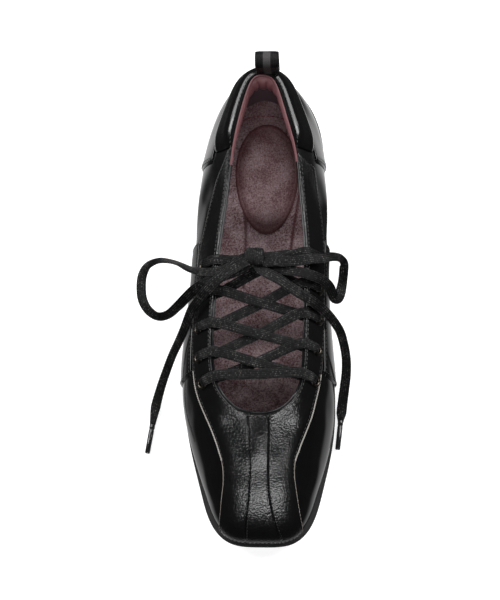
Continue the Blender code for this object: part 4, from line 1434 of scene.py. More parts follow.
    def make_overlay(self, node: str, name: str, rows: tuple[EdgeRow, ...]) -> Panel:
        """Makes a thin overlay.

        Args:
            node: the solid that it stands for.
            name: the piece's name.
            rows: the panel's rows.

        Returns:
            The panel, for its seams.
        """
        panel = Panel(self.last, rows, self.overlay, top_edge=self.overlay_edge)
        self.workshop.settle(self.workshop.piece(name, panel.shape(), UPPER_LEATHER), Slot.LEATHER, node)
        return panel

    def make_saddles(self) -> None:
        """The plain stitched overlay on each side."""
        for node, start, end, high in (
            ("saddle_lateral", 5.85, 8.60, (0.57, 0.64)),
            ("saddle_medial", ROUND - 8.60, ROUND - 5.85, (0.66, 0.57)),
        ):
            rows = level_rows(start, end, self.overlay_low, high, lines=24)
            panel = self.make_overlay(node, node + "_leather", rows)
            for side in (Side.HIGH, Side.START, Side.END):
                self.stitching.add(Threads.FINE, panel.seam(side, self.stitch_inset))

    def make_heel(self) -> None:
        """The counter and the padded collar over it."""
        rows = level_rows(start=-4.15, end=4.15, low=self.overlay_low, high=(0.58, 0.58), lines=14)
        counter = self.make_overlay("heel_counter", "counter_leather", rows)
        for side in (Side.START, Side.END):
            for inset in (self.stitch_inset, 2 * self.stitch_inset):
                self.stitching.add(Threads.FINE, counter.seam(side, inset))
        rows = level_rows(start=-3.90, end=3.90, low=0.61, high=(0.995, 0.995), lines=16)
        collar = Panel(
            self.last, rows, thickness=0.0044, edge=0.0040, top_edge=0.0056, end_edge=0.0100, swell=0.0004
        )
        piece = self.workshop.piece("collar_leather", collar.shape(), UPPER_LEATHER)
        self.workshop.settle(piece, Slot.LEATHER, "heel_collar")
        self.stitching.add(Threads.FINE, collar.seam(Side.HIGH, self.collar_inset))

    def lining_folds(self, points: Array) -> Array:
        """Gives the depth of the soft upright folds in the lining across the back.

        Args:
            points: world points of the lining.

        Returns:
            Heights to add, below zero in the folds.
        """
        across = points[..., 0] - self.last.axis
        dips = sum(np.exp(-(((across - fold) / self.fold_width) ** 2)) for fold in self.folds)
        return np.where(points[..., 1] > self.fold_place, -self.fold_depth * dips, 0.0)

    def make_lining(self) -> None:
        """The smooth band of lining inside the collar, deepest at the back, and the cloth below it."""
        lows = [(-place, low) for place, low in self.lining_low[:0:-1]] + list(self.lining_low)
        band = Panel(
            self.last, tuple(EdgeRow(place, low, place, lines=40, high_rise=0.998) for place, low in lows),
            thickness=0.0052, edge=0.0016, top_edge=0.0060, columns=26,
            inside=self.wall_at, gain=self.lining_gain, lean=self.back_lean, trough=self.lining_folds,
        )
        back = Panel(
            self.last, level_rows(start=-2.4, end=2.4, low=0.10, high=(0.80, 0.80), lines=18),
            thickness=0.0088, edge=0.0010, top_edge=0.0300, columns=26,
            inside=self.wall_at, gain=self.back_gain, lean=self.back_lean,
        )
        linings = {"collar_lining": (band, LINING_LEATHER), "heel_lining": (back, LINING_CLOTH)}
        for name, (panel, finish) in linings.items():
            piece = self.workshop.piece(name, panel.shape(), finish)
            self.workshop.settle(piece, Slot.FOOTBED)


@dataclass
class Sole:
    """The rubber unit."""

    last: Last
    workshop: Workshop
    lines: int = 420
    groove_width: float = 0.0030
    groove_depth: float = 0.0016
    groove_margin: float = 0.0080
    groove_point: float = 0.0060
    grooves: tuple[int, ...] = (8, 13, 18, 23, 58, 62, 66, 70, 74)  # in percent of the length
    samples: int = 200
    # inset from the edge in millimetres, and share of the way up
    side: Table = (
        (2.6, 0.00), (1.7, 0.02), (1.25, 0.08), (1.1, 0.30), (0.95, 0.50), (0.8, 0.62), (0.15, 0.645),
        (0.0, 0.68), (0.0, 0.77), (0.3, 0.785), (0.3, 0.815), (0.0, 0.83), (0.0, 0.94), (0.25, 0.98),
        (0.7, 1.00),
    )

    def build(self) -> None:
        """Makes the unit with its stepped side, arch, toe spring and chevron grooves."""
        place = np.arange(self.lines) * ROUND / self.lines
        flange = self.last.section(place)[:, -1]
        rings = []
        for inset, climb in self.side:
            plan = self.last.sole_edge(place, flange - inset * MM)
            bottom = self.last.sole_height(plan[:, 0], "bottom")
            top = self.last.sole_height(plan[:, 0], "top")
            rings.append(self.last.spot(plan[:, 0], plan[:, 1], bottom + (top - bottom) * climb))
        unit_piece = self.workshop.piece("rubber_unit", stack(rings), SOLE_RUBBER)
        cutter = self.workshop.piece("groove_cutter", self.chevrons())
        self.workshop.cut(unit_piece, cutter)
        bpy.data.objects.remove(cutter)
        self.workshop.settle(unit_piece, Slot.RUBBER, "outsole")

    def chevrons(self) -> Shape:
        """Works out all the grooves as one helper.

        Returns:
            A closed bent bar for each groove.
        """
        points, faces = [], []
        for share in self.grooves:
            along = share * self.last.length / 100
            outer, inner = (self.half_width(along, start) - self.groove_margin for start in (0, ROUND))
            first = len(points)
            for depth in (-self.groove_depth, self.groove_depth):
                for across, ahead in ((-outer, 0), (0, self.groove_point), (inner, 0)):
                    for side in (-self.groove_width / 2, self.groove_width / 2):
                        points.append(self.last.spot(along + ahead + side, across, depth))
            for left in (first, first + 2):
                faces.append((left, left + 1, left + 3, left + 2))
                faces.append((left + 6, left + 8, left + 9, left + 7))
                faces.append((left, left + 2, left + 8, left + 6))
                faces.append((left + 1, left + 7, left + 9, left + 3))
            faces.append((first, first + 6, first + 7, first + 1))
            faces.append((first + 4, first + 5, first + 11, first + 10))
        return Shape(np.array(points), faces)

    def half_width(self, along: float, start: float) -> float:
        """Gives the lasted edge's distance from the heel-to-toe line, on the side that starts at a place."""
        edge = self.last.section(np.linspace(start, TOE, self.samples))
        return float(np.interp(along, edge[:, 0], np.abs(edge[:, 1])))


@dataclass
class Footbed:
    """The insole with its oval cushion."""

    last: Last
    workshop: Workshop
    stitching: Stitching
    wall: float = 0.0025
    thickness: float = 0.0035
    cup: float = 0.0016
    pad_along: float = 0.0578
    pad_across: float = 0.0008
    pad_half_length: float = 0.0304
    pad_half_width: float = 0.0170
    pad_egg: float = 0.10
    pad_rise: float = 0.0016
    pad_lift: float = 0.0006
    pad_foot: float = 0.0002
    pad_dome: int = 6  # power of its dome
    pad_segments: int = 96
    pad_rings: int = 36
    pad_shares: Pair = (0.985, 0.02)  # of the cushion, from its outer to its inmost ring
    # painted shade, deepening towards the cushion's border, by share of the cushion
    pad_painted_shade: Table = ((0.64, 0.0), (0.93, 0.65), (1.0, 0.90))
    border: float = 0.90  # share of the cushion at which its pressed border runs
    border_width: float = 0.025
    border_depth: float = 0.0003
    lines: int = 260
    columns: int = 91
    end_gap: float = 0.02
    rim_power: int = 7
    # painted shade: the insole is darker along its rim by the walls and towards the heel, where shade falls
    rim_painted_shade: float = 0.35
    heel_painted_shade: float = 0.62
    heel_shade_from: float = 0.050
    heel_shade_fade: float = 0.026
    line_tint: float = 0.85
    line_width: float = 0.0009
    line_steps: int = 10
    pressed_depth: float = 0.0004
    edge_share: float = 0.5  # of the pressed depth, along the sewn edge line
    stitch_lift: float = 0.0001
    # lines in millimetres, along from the heel and across to the inner side
    pressed: Table = ((72.0, -11.5), (86.5, -10.4), (97.0, -10.6), (118.0, -11.6))
    edge_line: Table = ((46.0, 20.5), (63.8, 18.7), (75.9, 16.9), (87.9, 15.0), (99.2, 13.8), (112.0, 13.0))
    back_line: Table = (
        (30.0, -17.0), (24.5, -11.8), (22.8, -6.6), (22.3, 0.0), (22.9, 6.6), (25.3, 11.9), (30.0, 17.0),
    )

    def top(self, along: Array) -> Array:
        """Gives the height of the insole's top face at its middle."""
        return self.last.sole_height(along, "top") + self.last.gap + self.thickness

    def build(self) -> None:
        """Makes the insole, its sewn lines and the cushion."""
        self.make_insole()
        self.make_pad()

    def make_insole(self) -> None:
        """A cupped footbed with a pressed line and two sewn lines."""
        place = np.linspace(self.end_gap, TOE - self.end_gap, self.lines)
        edges = [self.last.sole_edge(p, -self.wall) for p in (place, ROUND - place)]
        share = np.linspace(0, 1, self.columns)[None, :, None]
        plan = edges[0][:, None] * (1 - share) + edges[1][:, None] * share
        along, across = plan[..., 0], plan[..., 1]
        rim = np.abs(2 * share[..., 0] - 1) ** self.rim_power
        height = self.top(along) + self.cup * rim
        # painted shade, deepest along the rim and at the heel; the pressed and sewn lines then take the tint
        # colour too
        heel = np.clip((self.heel_shade_from - along) / self.heel_shade_fade, 0, 1)
        tint = np.maximum(self.rim_painted_shade * rim, self.heel_painted_shade * heel)
        for line, part in ((self.pressed, 1.0), (self.edge_line, self.edge_share)):
            depth = part * self.pressed_depth
            route = np.array(line) * MM
            gap = np.abs(across - np.interp(along, route[:, 0], route[:, 1])) / self.line_width
            inside = (along > route[0, 0]) & (along < route[-1, 0])
            height -= np.where(inside, depth * np.exp(-(gap**2)), 0)
            tint = np.maximum(tint, np.where(inside, self.line_tint * np.exp(-(gap**2)), 0))
        bottom = self.last.sole_height(along, "top") + self.last.gap
        shape = shell(self.last.spot(along, across, height), self.last.spot(along, across, bottom))
        shape.tint = np.concatenate([tint.ravel(), tint.ravel()])
        insole = self.workshop.piece("footbed", shape, FOOTBED_CLOTH)
        self.workshop.settle(insole, Slot.FOOTBED, "insole")
        for line in (self.edge_line, self.back_line):
            route = smooth_curve(np.array(line) * MM, self.line_steps)
            points = self.last.spot(route[:, 0], route[:, 1], self.top(route[:, 0]) + self.stitch_lift)
            self.stitching.add(Threads.RED, Seam(points, np.tile(SKY, (len(points), 1))))

    def make_pad(self) -> None:
        """An egg-shaped cushion with a pressed border; its face is plain."""
        turn = np.linspace(0, 2 * math.pi, self.pad_segments, endpoint=False)
        shares = np.concatenate([[1.0, 1.0], np.linspace(*self.pad_shares, self.pad_rings)])
        wide = self.pad_half_width * (1 - self.pad_egg * np.cos(turn))
        painted_border_shade = np.interp(shares, *zip(*self.pad_painted_shade))
        along, across, height = [], [], []
        for index, share in enumerate(shares):
            along.append(self.pad_along + self.pad_half_length * share * np.cos(turn))
            across.append(self.pad_across + wide * share * np.sin(turn))
            dome = self.pad_rise * (1 - share**self.pad_dome)
            border = self.border_depth * math.exp(-(((share - self.border) / self.border_width) ** 2))
            lift = self.pad_foot if index == 0 else self.pad_lift + dome - border
            height.append(self.top(along[-1]) + lift)
        rings = self.last.spot(np.array(along), np.array(across), np.array(height))
        shape = stack(list(rings))
        # painted shade on the cushion, deepest at its border
        shape.tint = np.repeat(painted_border_shade, self.pad_segments)
        pad = self.workshop.piece("heel_cushion", shape, PAD_LEATHER)
        self.workshop.settle(pad, Slot.FOOTBED, "heel_pad")


LACE_PROFILE = (-1.0, -0.94, -0.75, -0.4, 0.0, 0.4, 0.75, 0.94, 1.0)
STRIPE_PROFILE = (-1.0, -0.95, -0.7, -0.34, -0.29, 0.0, 0.29, 0.34, 0.7, 0.95, 1.0)


@dataclass
class Ribbon:
    """A flat woven strip along a line."""

    centre: Array
    ups: Array
    width: Values
    thickness: float
    profile: tuple[float, ...] = LACE_PROFILE
    stripe: float = 0.0  # half of a tinted stripe, in halves of the width
    cup: float = 0.0
    edge_power: int = 9

    def shape(self) -> Shape:
        """Works out the strip.

        Returns:
            The closed shape, mapped in metres across and along.
        """
        way = unit(np.gradient(self.centre, axis=0))
        side = unit(np.cross(way, self.ups))
        face = np.cross(side, way)
        across = np.array([*self.profile, *self.profile[-2:0:-1]])
        bulge = np.sqrt(np.maximum(1 - np.abs(across) ** self.edge_power, 0.0))
        lift = np.concatenate([bulge[: len(self.profile)], -bulge[len(self.profile):]]) * self.thickness / 2
        half = np.broadcast_to(self.width, len(self.centre)) / 2
        bow = self.cup * half[:, None] * across**2
        points = (
            self.centre[:, None] + side[:, None] * (half[:, None] * across)[..., None]
            + face[:, None] * (lift + bow)[..., None]
        )
        rows, columns = points.shape[:2]
        ends = [list(range(columns)), list(range((rows - 1) * columns, rows * columns))]
        run = run_length(self.centre)
        uv = np.stack(np.broadcast_arrays(half[:, None] * across, run[:, None]), axis=-1)
        tint = np.broadcast_to(np.abs(across) < self.stripe, (rows, columns)).astype(float)
        faces = grid_faces(rows, columns, close_columns=True) + ends
        return Shape(points.reshape(-1, 3), faces, uv=uv.reshape(-1, 2), tint=tint.reshape(-1))


def joined(shapes: Sequence[Shape]) -> Shape:
    """Joins mapped shapes into one.

    Args:
        shapes: shapes with map and tint.

    Returns:
        The shape.
    """
    faces, count = [], 0
    for shape in shapes:
        faces += [[c + count for c in face] for face in shape.faces]
        count += len(shape.points)
    return Shape(
        np.concatenate([s.points for s in shapes]), faces,
        uv=np.concatenate([s.uv for s in shapes]), tint=np.concatenate([s.tint for s in shapes]),
    )


@dataclass
class PullLoop:
    """The webbing loop at the back of the collar."""

    last: Last
    workshop: Workshop
    width: float = 0.0124
    height: float = 0.0185
    radius: float = 0.0046
    thickness: float = 0.0011
    foot: float = 0.0015
    lean: float = math.radians(3.5)
    shift: Pair = (0.0014, 0.0031)
    place: float = ROUND - 0.3
    seat: float = 0.0012
    inset: float = 0.0010
    tail: float = 0.0018
    flare: float = 1.15
    stripe: float = 0.31
    arc_steps: int = 26
    leg_steps: int = 14

    def build(self) -> None:
        """Makes the folded strip with its pale middle stripe."""
        bend = self.radius - self.thickness / 2
        foot = self.foot - self.thickness / 2
        centre = self.height - self.radius
        turn = np.linspace(0, math.pi, self.arc_steps)
        rise = np.linspace(-self.tail, centre, self.leg_steps)[:-1]
        reach = foot + (bend - foot) * np.clip(rise / centre, 0, 1) ** self.flare
        back = np.concatenate([reach, bend * np.cos(turn), -reach[::-1]])
        up = np.concatenate([rise, centre + bend * np.sin(turn), rise[::-1]])
        seat = self.last.over(self.place, 1.0, -self.inset) + np.array([*self.shift, self.seat])
        tilted_back = back * math.cos(self.lean) + up * math.sin(self.lean)
        tilted_up = up * math.cos(self.lean) - back * math.sin(self.lean)
        line = seat + np.stack([0 * back, tilted_back, tilted_up], axis=1)
        way = unit(np.gradient(line, axis=0))
        ups = np.cross(way, INWARD)
        shape = Ribbon(line, ups, self.width, self.thickness, STRIPE_PROFILE, self.stripe).shape()
        loop = self.workshop.piece("webbing_loop", shape, LOOP_WEBBING)
        self.workshop.settle(loop, Slot.WEBBING, "pull_loop")


class EyeletRow(NamedTuple):
    """A pair of eyelets: place and rise on each side, counted from the heel on both."""

    lateral: float
    lateral_rise: float
    medial: float
    medial_rise: float


EYELET_ROWS = (
    EyeletRow(9.05, 0.83, 8.95, 0.82),
    EyeletRow(8.35, 0.80, 8.15, 0.80),
    EyeletRow(7.70, 0.77, 7.50, 0.77),
    EyeletRow(7.05, 0.75, 6.90, 0.76),
    EyeletRow(6.45, 0.75, 6.30, 0.79),
)


@dataclass
class Eyelets:
    """Flanged metal eyelets through the vamp panel and the upper."""

    last: Last
    workshop: Workshop
    hole: float = 0.0016
    barrel: float = 0.0020
    flange: float = 0.0034
    seat: float = 0.0014
    depth: float = 0.0040
    segments: int = 36
    rod_segments: int = 24
    rod_length: float = 0.020
    # tint by the profile's corner: bare metal along the crown
    wear: Table = ((0, 0.0), (2, 0.25), (3, 0.9), (4, 0.35), (5, 0.1), (6, 0.0))

    def spots(self) -> dict[str, list[Pair]]:
        """Lists the eyelets' spots on the last.

        Returns:
            Place and rise of every eyelet by side, the toe's pair first.
        """
        return {
            "lateral": [(row.lateral, row.lateral_rise) for row in EYELET_ROWS],
            "medial": [(ROUND - row.medial, row.medial_rise) for row in EYELET_ROWS],
        }

    def cutter(self) -> Thing:
        """Makes a helper with a rod through every eyelet's place.

        Returns:
            The helper, hidden from the picture.
        """
        form = bmesh.new()
        for spots in self.spots().values():
            for place, rise in spots:
                normal = Vector(self.last.normal(place, rise))
                spin = Vector(SKY).rotation_difference(normal).to_matrix().to_4x4()
                middle = Matrix.Translation(Vector(self.last.face(place, rise)))
                bmesh.ops.create_cone(
                    form, cap_ends=True, segments=self.rod_segments, radius1=self.barrel, radius2=self.barrel,
                    depth=self.rod_length, matrix=middle @ spin,
                )
        mesh = bpy.data.meshes.new("hole_cutter")
        form.to_mesh(mesh)
        form.free()
        obj = linked("hole_cutter", mesh)
        obj.hide_render = True
        return obj

    def template(self) -> Thing:
        """Turns one eyelet about Z.

        Returns:
            The eyelet, which is copied to each place and then removed.
        """
        hole, barrel, flange, depth = (v / MM for v in (self.hole, self.barrel, self.flange, self.depth))
        profile = np.array([
            (hole, -depth), (hole, 0.10), (hole + 0.08, 0.45), (hole + 0.32, 0.70), (hole + 0.75, 0.78),
            (flange - 0.55, 0.66), (flange - 0.18, 0.38), (flange, 0.06), (flange - 0.06, -0.02),
            (barrel, -0.02), (barrel, 0.7 - depth), (barrel + 0.85, 0.45 - depth),
            (barrel + 0.95, 0.15 - depth), (barrel + 0.5, -depth - 0.1),
        ]) * MM
        shape = lathe(profile, self.segments)
        wear = np.interp(np.arange(len(profile)), *zip(*self.wear))
        shape.tint = np.tile(wear, self.segments)
        return self.workshop.piece("eyelet_template", shape, EYELET_ENAMEL)

    def build(self) -> None:
        """Sets the eyelets with a node tree that turns one template to each place."""
        template = self.template()
        spots = [spot for row in self.spots().values() for spot in row]
        points = np.array([self.last.over(place, rise, self.seat) for place, rise in spots])
        ups = np.array([self.last.normal(place, rise) for place, rise in spots])
        eyelets = self.workshop.grow("eyelets", Seam(points, ups), [], self.tree(template), {})
        bpy.data.objects.remove(template)
        numbers = range(1, len(EYELET_ROWS) + 1)
        names = [f"eyelet_{side}_{number}" for side in self.spots() for number in numbers]
        self.workshop.settle(eyelets, Slot.EYELET, *names)

    def tree(self, template: Thing) -> bpy.types.NodeTree:
        """Makes the tree.

        Args:
            template: the eyelet to repeat.

        Returns:
            A tree that realizes and dresses an eyelet on each point.
        """
        geometry = {"Geometry": "Geometry"}
        kit = new_tree("eyelet_set", "GeometryNodeTree", geometry, geometry)
        entry = kit.add("NodeGroupInput").outputs["Geometry"]
        up = kit.add("GeometryNodeInputNamedAttribute", {"data_type": "FLOAT_VECTOR"}, Name="up")
        turned = kit.add("FunctionNodeAlignRotationToVector", {"axis": "Z"}, Vector=up.outputs["Attribute"])
        shape = kit.add("GeometryNodeObjectInfo", Object=template)
        real = kit.copies(entry, shape.outputs["Geometry"], turned.outputs[0])
        enamel = self.workshop.wardrobe.material(EYELET_ENAMEL)
        dressed = kit.add("GeometryNodeSetMaterial", Geometry=real, Material=enamel)
        kit.add("NodeGroupOutput", Geometry=dressed.outputs[0])
        return kit.tree


class RoutePoint(NamedTuple):
    """A point of the bow in millimetres, and the strip's roll there in degrees."""

    along: float
    across: float
    height: float
    roll: float = 0.0


ROUTES = {
    "lace_loop_lateral": (
        (113.6, -9.7, 61.2), (118.5, -16.0, 61.6), (120.5, -23.5, 60.8, 8), (119.5, -31.0, 57.5, 25),
        (117.0, -37.5, 53.0, 42), (113.0, -43.5, 48.0, 55), (110.0, -49.5, 42.5, 52),
        (108.5, -56.0, 37.5, 40), (110.0, -62.0, 32.5, 28), (114.0, -64.8, 29.8, 18),
        (120.0, -65.6, 28.0, 15), (127.0, -64.8, 27.0, 20), (133.0, -61.5, 27.5, 35),
        (137.0, -56.0, 30.0, 52), (137.0, -50.5, 34.0, 50), (134.0, -45.0, 39.5, 38),
        (130.5, -39.5, 46.5, 25), (128.0, -35.0, 52.6, 12), (126.0, -29.5, 58.2), (124.0, -23.0, 60.4),
        (121.5, -16.0, 60.2), (118.8, -9.9, 60.0),
    ),
    "lace_end_lateral": (
        (116.4, -9.3, 63.5), (119.0, -12.5, 65.4), (121.5, -16.5, 65.8), (124.5, -20.5, 65.2),
        (128.0, -25.0, 63.5), (131.5, -29.0, 60.5), (135.0, -32.5, 56.0), (138.0, -36.0, 51.0, 5),
        (141.5, -38.5, 45.0, 10), (145.5, -41.0, 38.0, 15), (150.0, -44.0, 31.5, 20),
        (156.5, -48.5, 22.5, 25), (164.0, -52.5, 14.0, 25), (172.0, -56.0, 7.2, 20), (181.0, -58.7, 3.2, 8),
        (191.4, -60.4, 1.9),
    ),
    "lace_loop_medial": (
        (115.5, 2.5, 62.8), (115.5, 8.0, 63.2), (115.5, 14.0, 63.2), (115.0, 20.0, 62.6),
        (113.5, 26.5, 60.6), (112.0, 32.5, 57.0), (110.0, 37.5, 52.0, -10), (109.5, 41.0, 47.0, -20),
        (111.0, 43.0, 42.6, -30), (114.5, 43.0, 39.0, -30), (118.5, 42.5, 36.3, -30),
        (122.5, 41.8, 34.8, -20), (126.0, 41.0, 34.5, -10), (129.0, 39.8, 36.5), (129.5, 38.3, 40.0),
        (127.5, 37.0, 43.5), (125.0, 35.3, 48.8), (123.5, 32.0, 55.4), (122.5, 27.0, 60.2),
        (121.0, 21.0, 61.8), (120.0, 15.0, 61.6), (119.0, 9.0, 60.6), (118.0, 2.5, 60.0),
    ),
    "lace_end_medial": (
        (119.2, 0.0, 61.6), (122.5, 5.0, 62.8), (126.0, 11.0, 63.4), (130.0, 16.5, 63.2),
        (133.0, 21.5, 61.8), (135.5, 26.5, 59.0), (138.0, 31.0, 54.5, -5), (140.5, 35.0, 48.8, -10),
        (143.5, 38.5, 42.5, -20), (147.0, 41.2, 37.0, -25), (152.0, 43.0, 31.0, -30),
        (158.0, 44.2, 24.5, -30), (165.0, 44.2, 17.0, -25), (172.0, 43.2, 10.8, -20),
        (178.5, 42.2, 6.0, -15), (184.0, 41.5, 3.0, -8), (189.0, 41.0, 1.9),
    ),
}


class LacePoint(NamedTuple):
    """A point of the lace's run, its up direction and its width."""

    point: Array
    up: Array
    width: float


class Wrap(NamedTuple):
    """A turn of lace round the knot: angle, half its length and height, width and shift across."""

    spin: float
    reach: float
    tall: float
    wide: float
    shift: float


@dataclass
class Lace:
    """The flat lace: its run through the eyelets, the knot, the loops and the ends."""

    last: Last
    workshop: Workshop
    eyelets: Eyelets
    width: float = 0.0055
    thickness: float = 0.0011
    knot: RoutePoint = RoutePoint(112.8, -3.4, 61.4)
    aglet_length: float = 0.0160
    aglet_radius: float = 0.0015
    aglet_overlap: float = 0.0012
    aglet_segments: int = 24
    # the aglet's profile, way and share of the radius: from where the lace goes in, and from the tip back
    crimp: Table = (
        (0.0, 0.0), (0.0, 0.86), (0.0004, 1.0), (0.0022, 1.0), (0.0026, 0.88), (0.0032, 0.88), (0.0036, 0.97),
    )
    nose: Table = ((0.0006, 0.92), (0.0, 0.75), (0.0, 0.0))
    axis_gap: float = 1e-5
    tip_width: float = 0.0028
    depth: float = 0.6  # of a strand's start in the knot
    bow_steps: int = 10
    run_steps: int = 9
    # the lace over the topline, going down to an eyelet and under the leather
    rim_height: float = 0.0017
    rim_inset: float = 0.0016
    rim_lift: float = 0.0003
    flat_height: float = 0.0025
    entry: Table = ((0.045, 0.0030), (0.006, 0.0016), (0.0, -0.0030))  # rise past the eyelet, and height
    entry_lean: Pair = (0.3, 0.4)
    entry_width: tuple[float, ...] = (0.86, 0.55, 0.5)
    under_entry: Pair = (0.05, -0.0046)
    under_width: float = 0.8
    under_flat: float = -0.0042
    under_inset: float = 0.0030
    under_drop: float = 0.0032
    over_cross: float = 0.0009  # heights of the two strands where they cross
    under_cross: float = -0.0006
    pull: float = 0.0016  # of the last crossing, towards the knot
    tie_drop: float = 2.2  # in millimetres, under the knot's middle
    tie_lift: float = 0.0006
    tie_step: float = 0.0004
    tie_width: float = 0.9
    wraps: tuple[Wrap, ...] = (
        Wrap(math.radians(-14), 0.0042, 0.0024, 0.0108, -0.0004),
        Wrap(math.radians(-6), 0.0047, 0.0029, 0.0060, 0.0020),
    )
    wrap_turn: Pair = (-0.25, 2 * math.pi + 0.15)
    wrap_steps: int = 48
    wrap_power: float = 0.7  # below 1 it squares the turn
    wrap_drift: float = 0.0005
    wrap_pinch: Pair = (0.82, 0.18)
    wrap_cup: float = -0.12

    def build(self) -> None:
        """Laces the shoe and ties the bow."""
        self.make_runs()
        self.make_knot()
        self.make_bow()

    def thread(self, side: str, number: int, sign: float) -> list[LacePoint]:
        """Gives the lace from over the topline into an eyelet, and on to under the topline.

        Args:
            side: lateral or medial.
            number: the eyelet's number from the toe.
            sign: which face of the lace is up.

        Returns:
            Points in order.
        """
        last, wide, (place, rise) = self.last, self.width, self.eyelets.spots()[side][number]
        out, away = last.normal(place, rise), -last.upward(place, rise)
        inward = -math.copysign(1, last.face(place, 1.0)[0] - last.axis) * INWARD
        half = (rise + 1) / 2
        over = last.over(place, 1.0, self.rim_height) + inward * self.rim_inset + SKY * self.rim_lift
        points = [
            LacePoint(over, sign * unit(last.normal(place, 1.0) + SKY), wide),
            LacePoint(last.over(place, half, self.flat_height), sign * out, wide),
        ]
        ups = (out + self.entry_lean[0] * away, unit(away + self.entry_lean[1] * out), away)
        for (past, height), up, share in zip(self.entry, ups, self.entry_width):
            points.append(LacePoint(last.over(place, rise + past, height), sign * up, wide * share))
        past, height = self.under_entry
        under = last.face(place, 1.0) + inward * self.under_inset - SKY * self.under_drop
        return [
            *points,
            LacePoint(last.over(place, rise + past, height), -sign * out, wide * self.under_width),
            LacePoint(last.over(place, half, self.under_flat), -sign * out, wide),
            LacePoint(under, -sign * SKY, wide),
        ]

    def make_runs(self) -> None:
        """The two halves of the run, from the middle of the bar at the toe to the knot."""
        nodes = ["lace_bar_toe", *(f"lace_cross_{n}" for n in range(1, 5)), "lace_bar_knot"]
        bar = [self.thread(side, 0, 1.0)[0].point for side in ("lateral", "medial")]
        middle = (bar[0] + bar[1]) / 2
        shapes = []
        for start in ("lateral", "medial"):
            side, sign = start, 1.0
            points = [LacePoint(middle, SKY, self.width)]
            for number in range(len(EYELET_ROWS)):
                points += self.thread(side, number, sign)
                sign = -sign
                if number + 1 == len(EYELET_ROWS):
                    break
                side = "medial" if side == "lateral" else "lateral"
                ahead = self.thread(side, number + 1, sign)[0].point
                lift = self.over_cross if side == "lateral" else self.under_cross
                pull = self.pull if number + 2 == len(EYELET_ROWS) else 0.0
                middle_point = (points[-1].point + ahead) / 2 + np.array([0.0, pull, lift])
                points.append(LacePoint(middle_point, sign * SKY, self.width))
            low = self.knot.height - self.tie_drop
            tie = self.last.spot(self.knot.along * MM, self.knot.across * MM, low * MM)
            edge = points[-1].point
            points.append(LacePoint((edge + tie) / 2 + SKY * self.tie_lift, sign * SKY, self.width))
            step = self.tie_step if start == "lateral" else 0
            points.append(LacePoint(tie + SKY * step, sign * SKY, self.width * self.tie_width))
            shapes.append(self.strip(points))
        run = self.workshop.piece("lace_run", joined(shapes), LACE_COTTON)
        self.workshop.settle(run, Slot.LACE, *nodes)

    def strip(self, points: Sequence[LacePoint]) -> Shape:
        """Makes a strip through lace points.

        Args:
            points: the points in order.

        Returns:
            The strip.
        """
        centre = smooth_curve(np.array([p.point for p in points]), self.run_steps)
        at = np.linspace(0, len(points) - 1, len(centre))
        marks = np.arange(len(points))
        ups = np.stack([np.interp(at, marks, [p.up[k] for p in points]) for k in range(3)], axis=1)
        width = np.interp(at, marks, [p.width for p in points])
        return Ribbon(centre, unit(ups), width, self.thickness).shape()

    def make_knot(self) -> None:
        """Two wraps of lace round the crossing strands."""
        middle = self.last.spot(self.knot.along * MM, self.knot.across * MM, self.knot.height * MM)
        shapes = []
        turn = np.linspace(*self.wrap_turn, self.wrap_steps)
        flat = [np.sign(wave) * np.abs(wave) ** self.wrap_power for wave in (np.cos(turn), np.sin(turn))]
        drift = np.linspace(-self.wrap_drift, self.wrap_drift, len(turn))[:, None]
        wide, narrow = self.wrap_pinch
        for wrap in self.wraps:
            ahead = np.array([math.sin(wrap.spin), -math.cos(wrap.spin), 0])
            across = np.cross(ahead, SKY)
            line = middle + np.outer(flat[0], ahead) * wrap.reach + np.outer(flat[1], SKY) * wrap.tall
            line += drift * across - across * wrap.shift
            ups = unit(np.outer(np.cos(turn), ahead) / wrap.reach + np.outer(np.sin(turn), SKY) / wrap.tall)
            pinch = wrap.wide * (wide + narrow * np.sin(turn) ** 2)
            shapes.append(Ribbon(line, ups, pinch, self.thickness, cup=self.wrap_cup).shape())
        knot = self.workshop.piece("bow_knot", joined(shapes), LACE_COTTON)
        self.workshop.settle(knot, Slot.LACE, "lace_knot")

    def lead(self, end: RoutePoint) -> Array:
        """Gives a point inside the knot for a strand that comes out of it at an end."""
        return np.array(self.knot) * self.depth + np.array(end) * (1 - self.depth)

    def make_bow(self) -> None:
        """The two loops and the two ends, each a free flat cord, and the aglets."""
        for name, rows in ROUTES.items():
            route = [RoutePoint(*row) for row in rows]
            loose = name.startswith("lace_loop")
            table = np.array([self.lead(route[0]), *route, *([self.lead(route[-1])] if loose else [])])
            marks = self.last.spot(*(table[:, k] * MM for k in range(3)))
            centre = smooth_curve(marks, self.bow_steps)
            stop = len(table) - 1
            at = np.linspace(0, stop, len(centre))
            roll = np.radians(np.interp(at, np.arange(len(table)), table[:, 3]))[:, None]
            way = unit(np.gradient(centre, axis=0))
            level = unit(np.cross(way, SKY))
            ups = np.cross(level, way) * np.cos(roll) + level * np.sin(roll)
            width = np.full(len(centre), self.width)
            if not loose:
                width = np.interp(at, (0, stop - 1, stop), (self.width, self.width, self.tip_width))
            strip = Ribbon(centre, ups, width, self.thickness).shape()
            cord = self.workshop.piece(name.replace("lace", "bow"), strip, LACE_COTTON)
            pieces = [] if loose else [self.make_aglet(name, centre[-1], centre[-1] - centre[-2])]
            self.workshop.settle(cord, Slot.LACE, name)

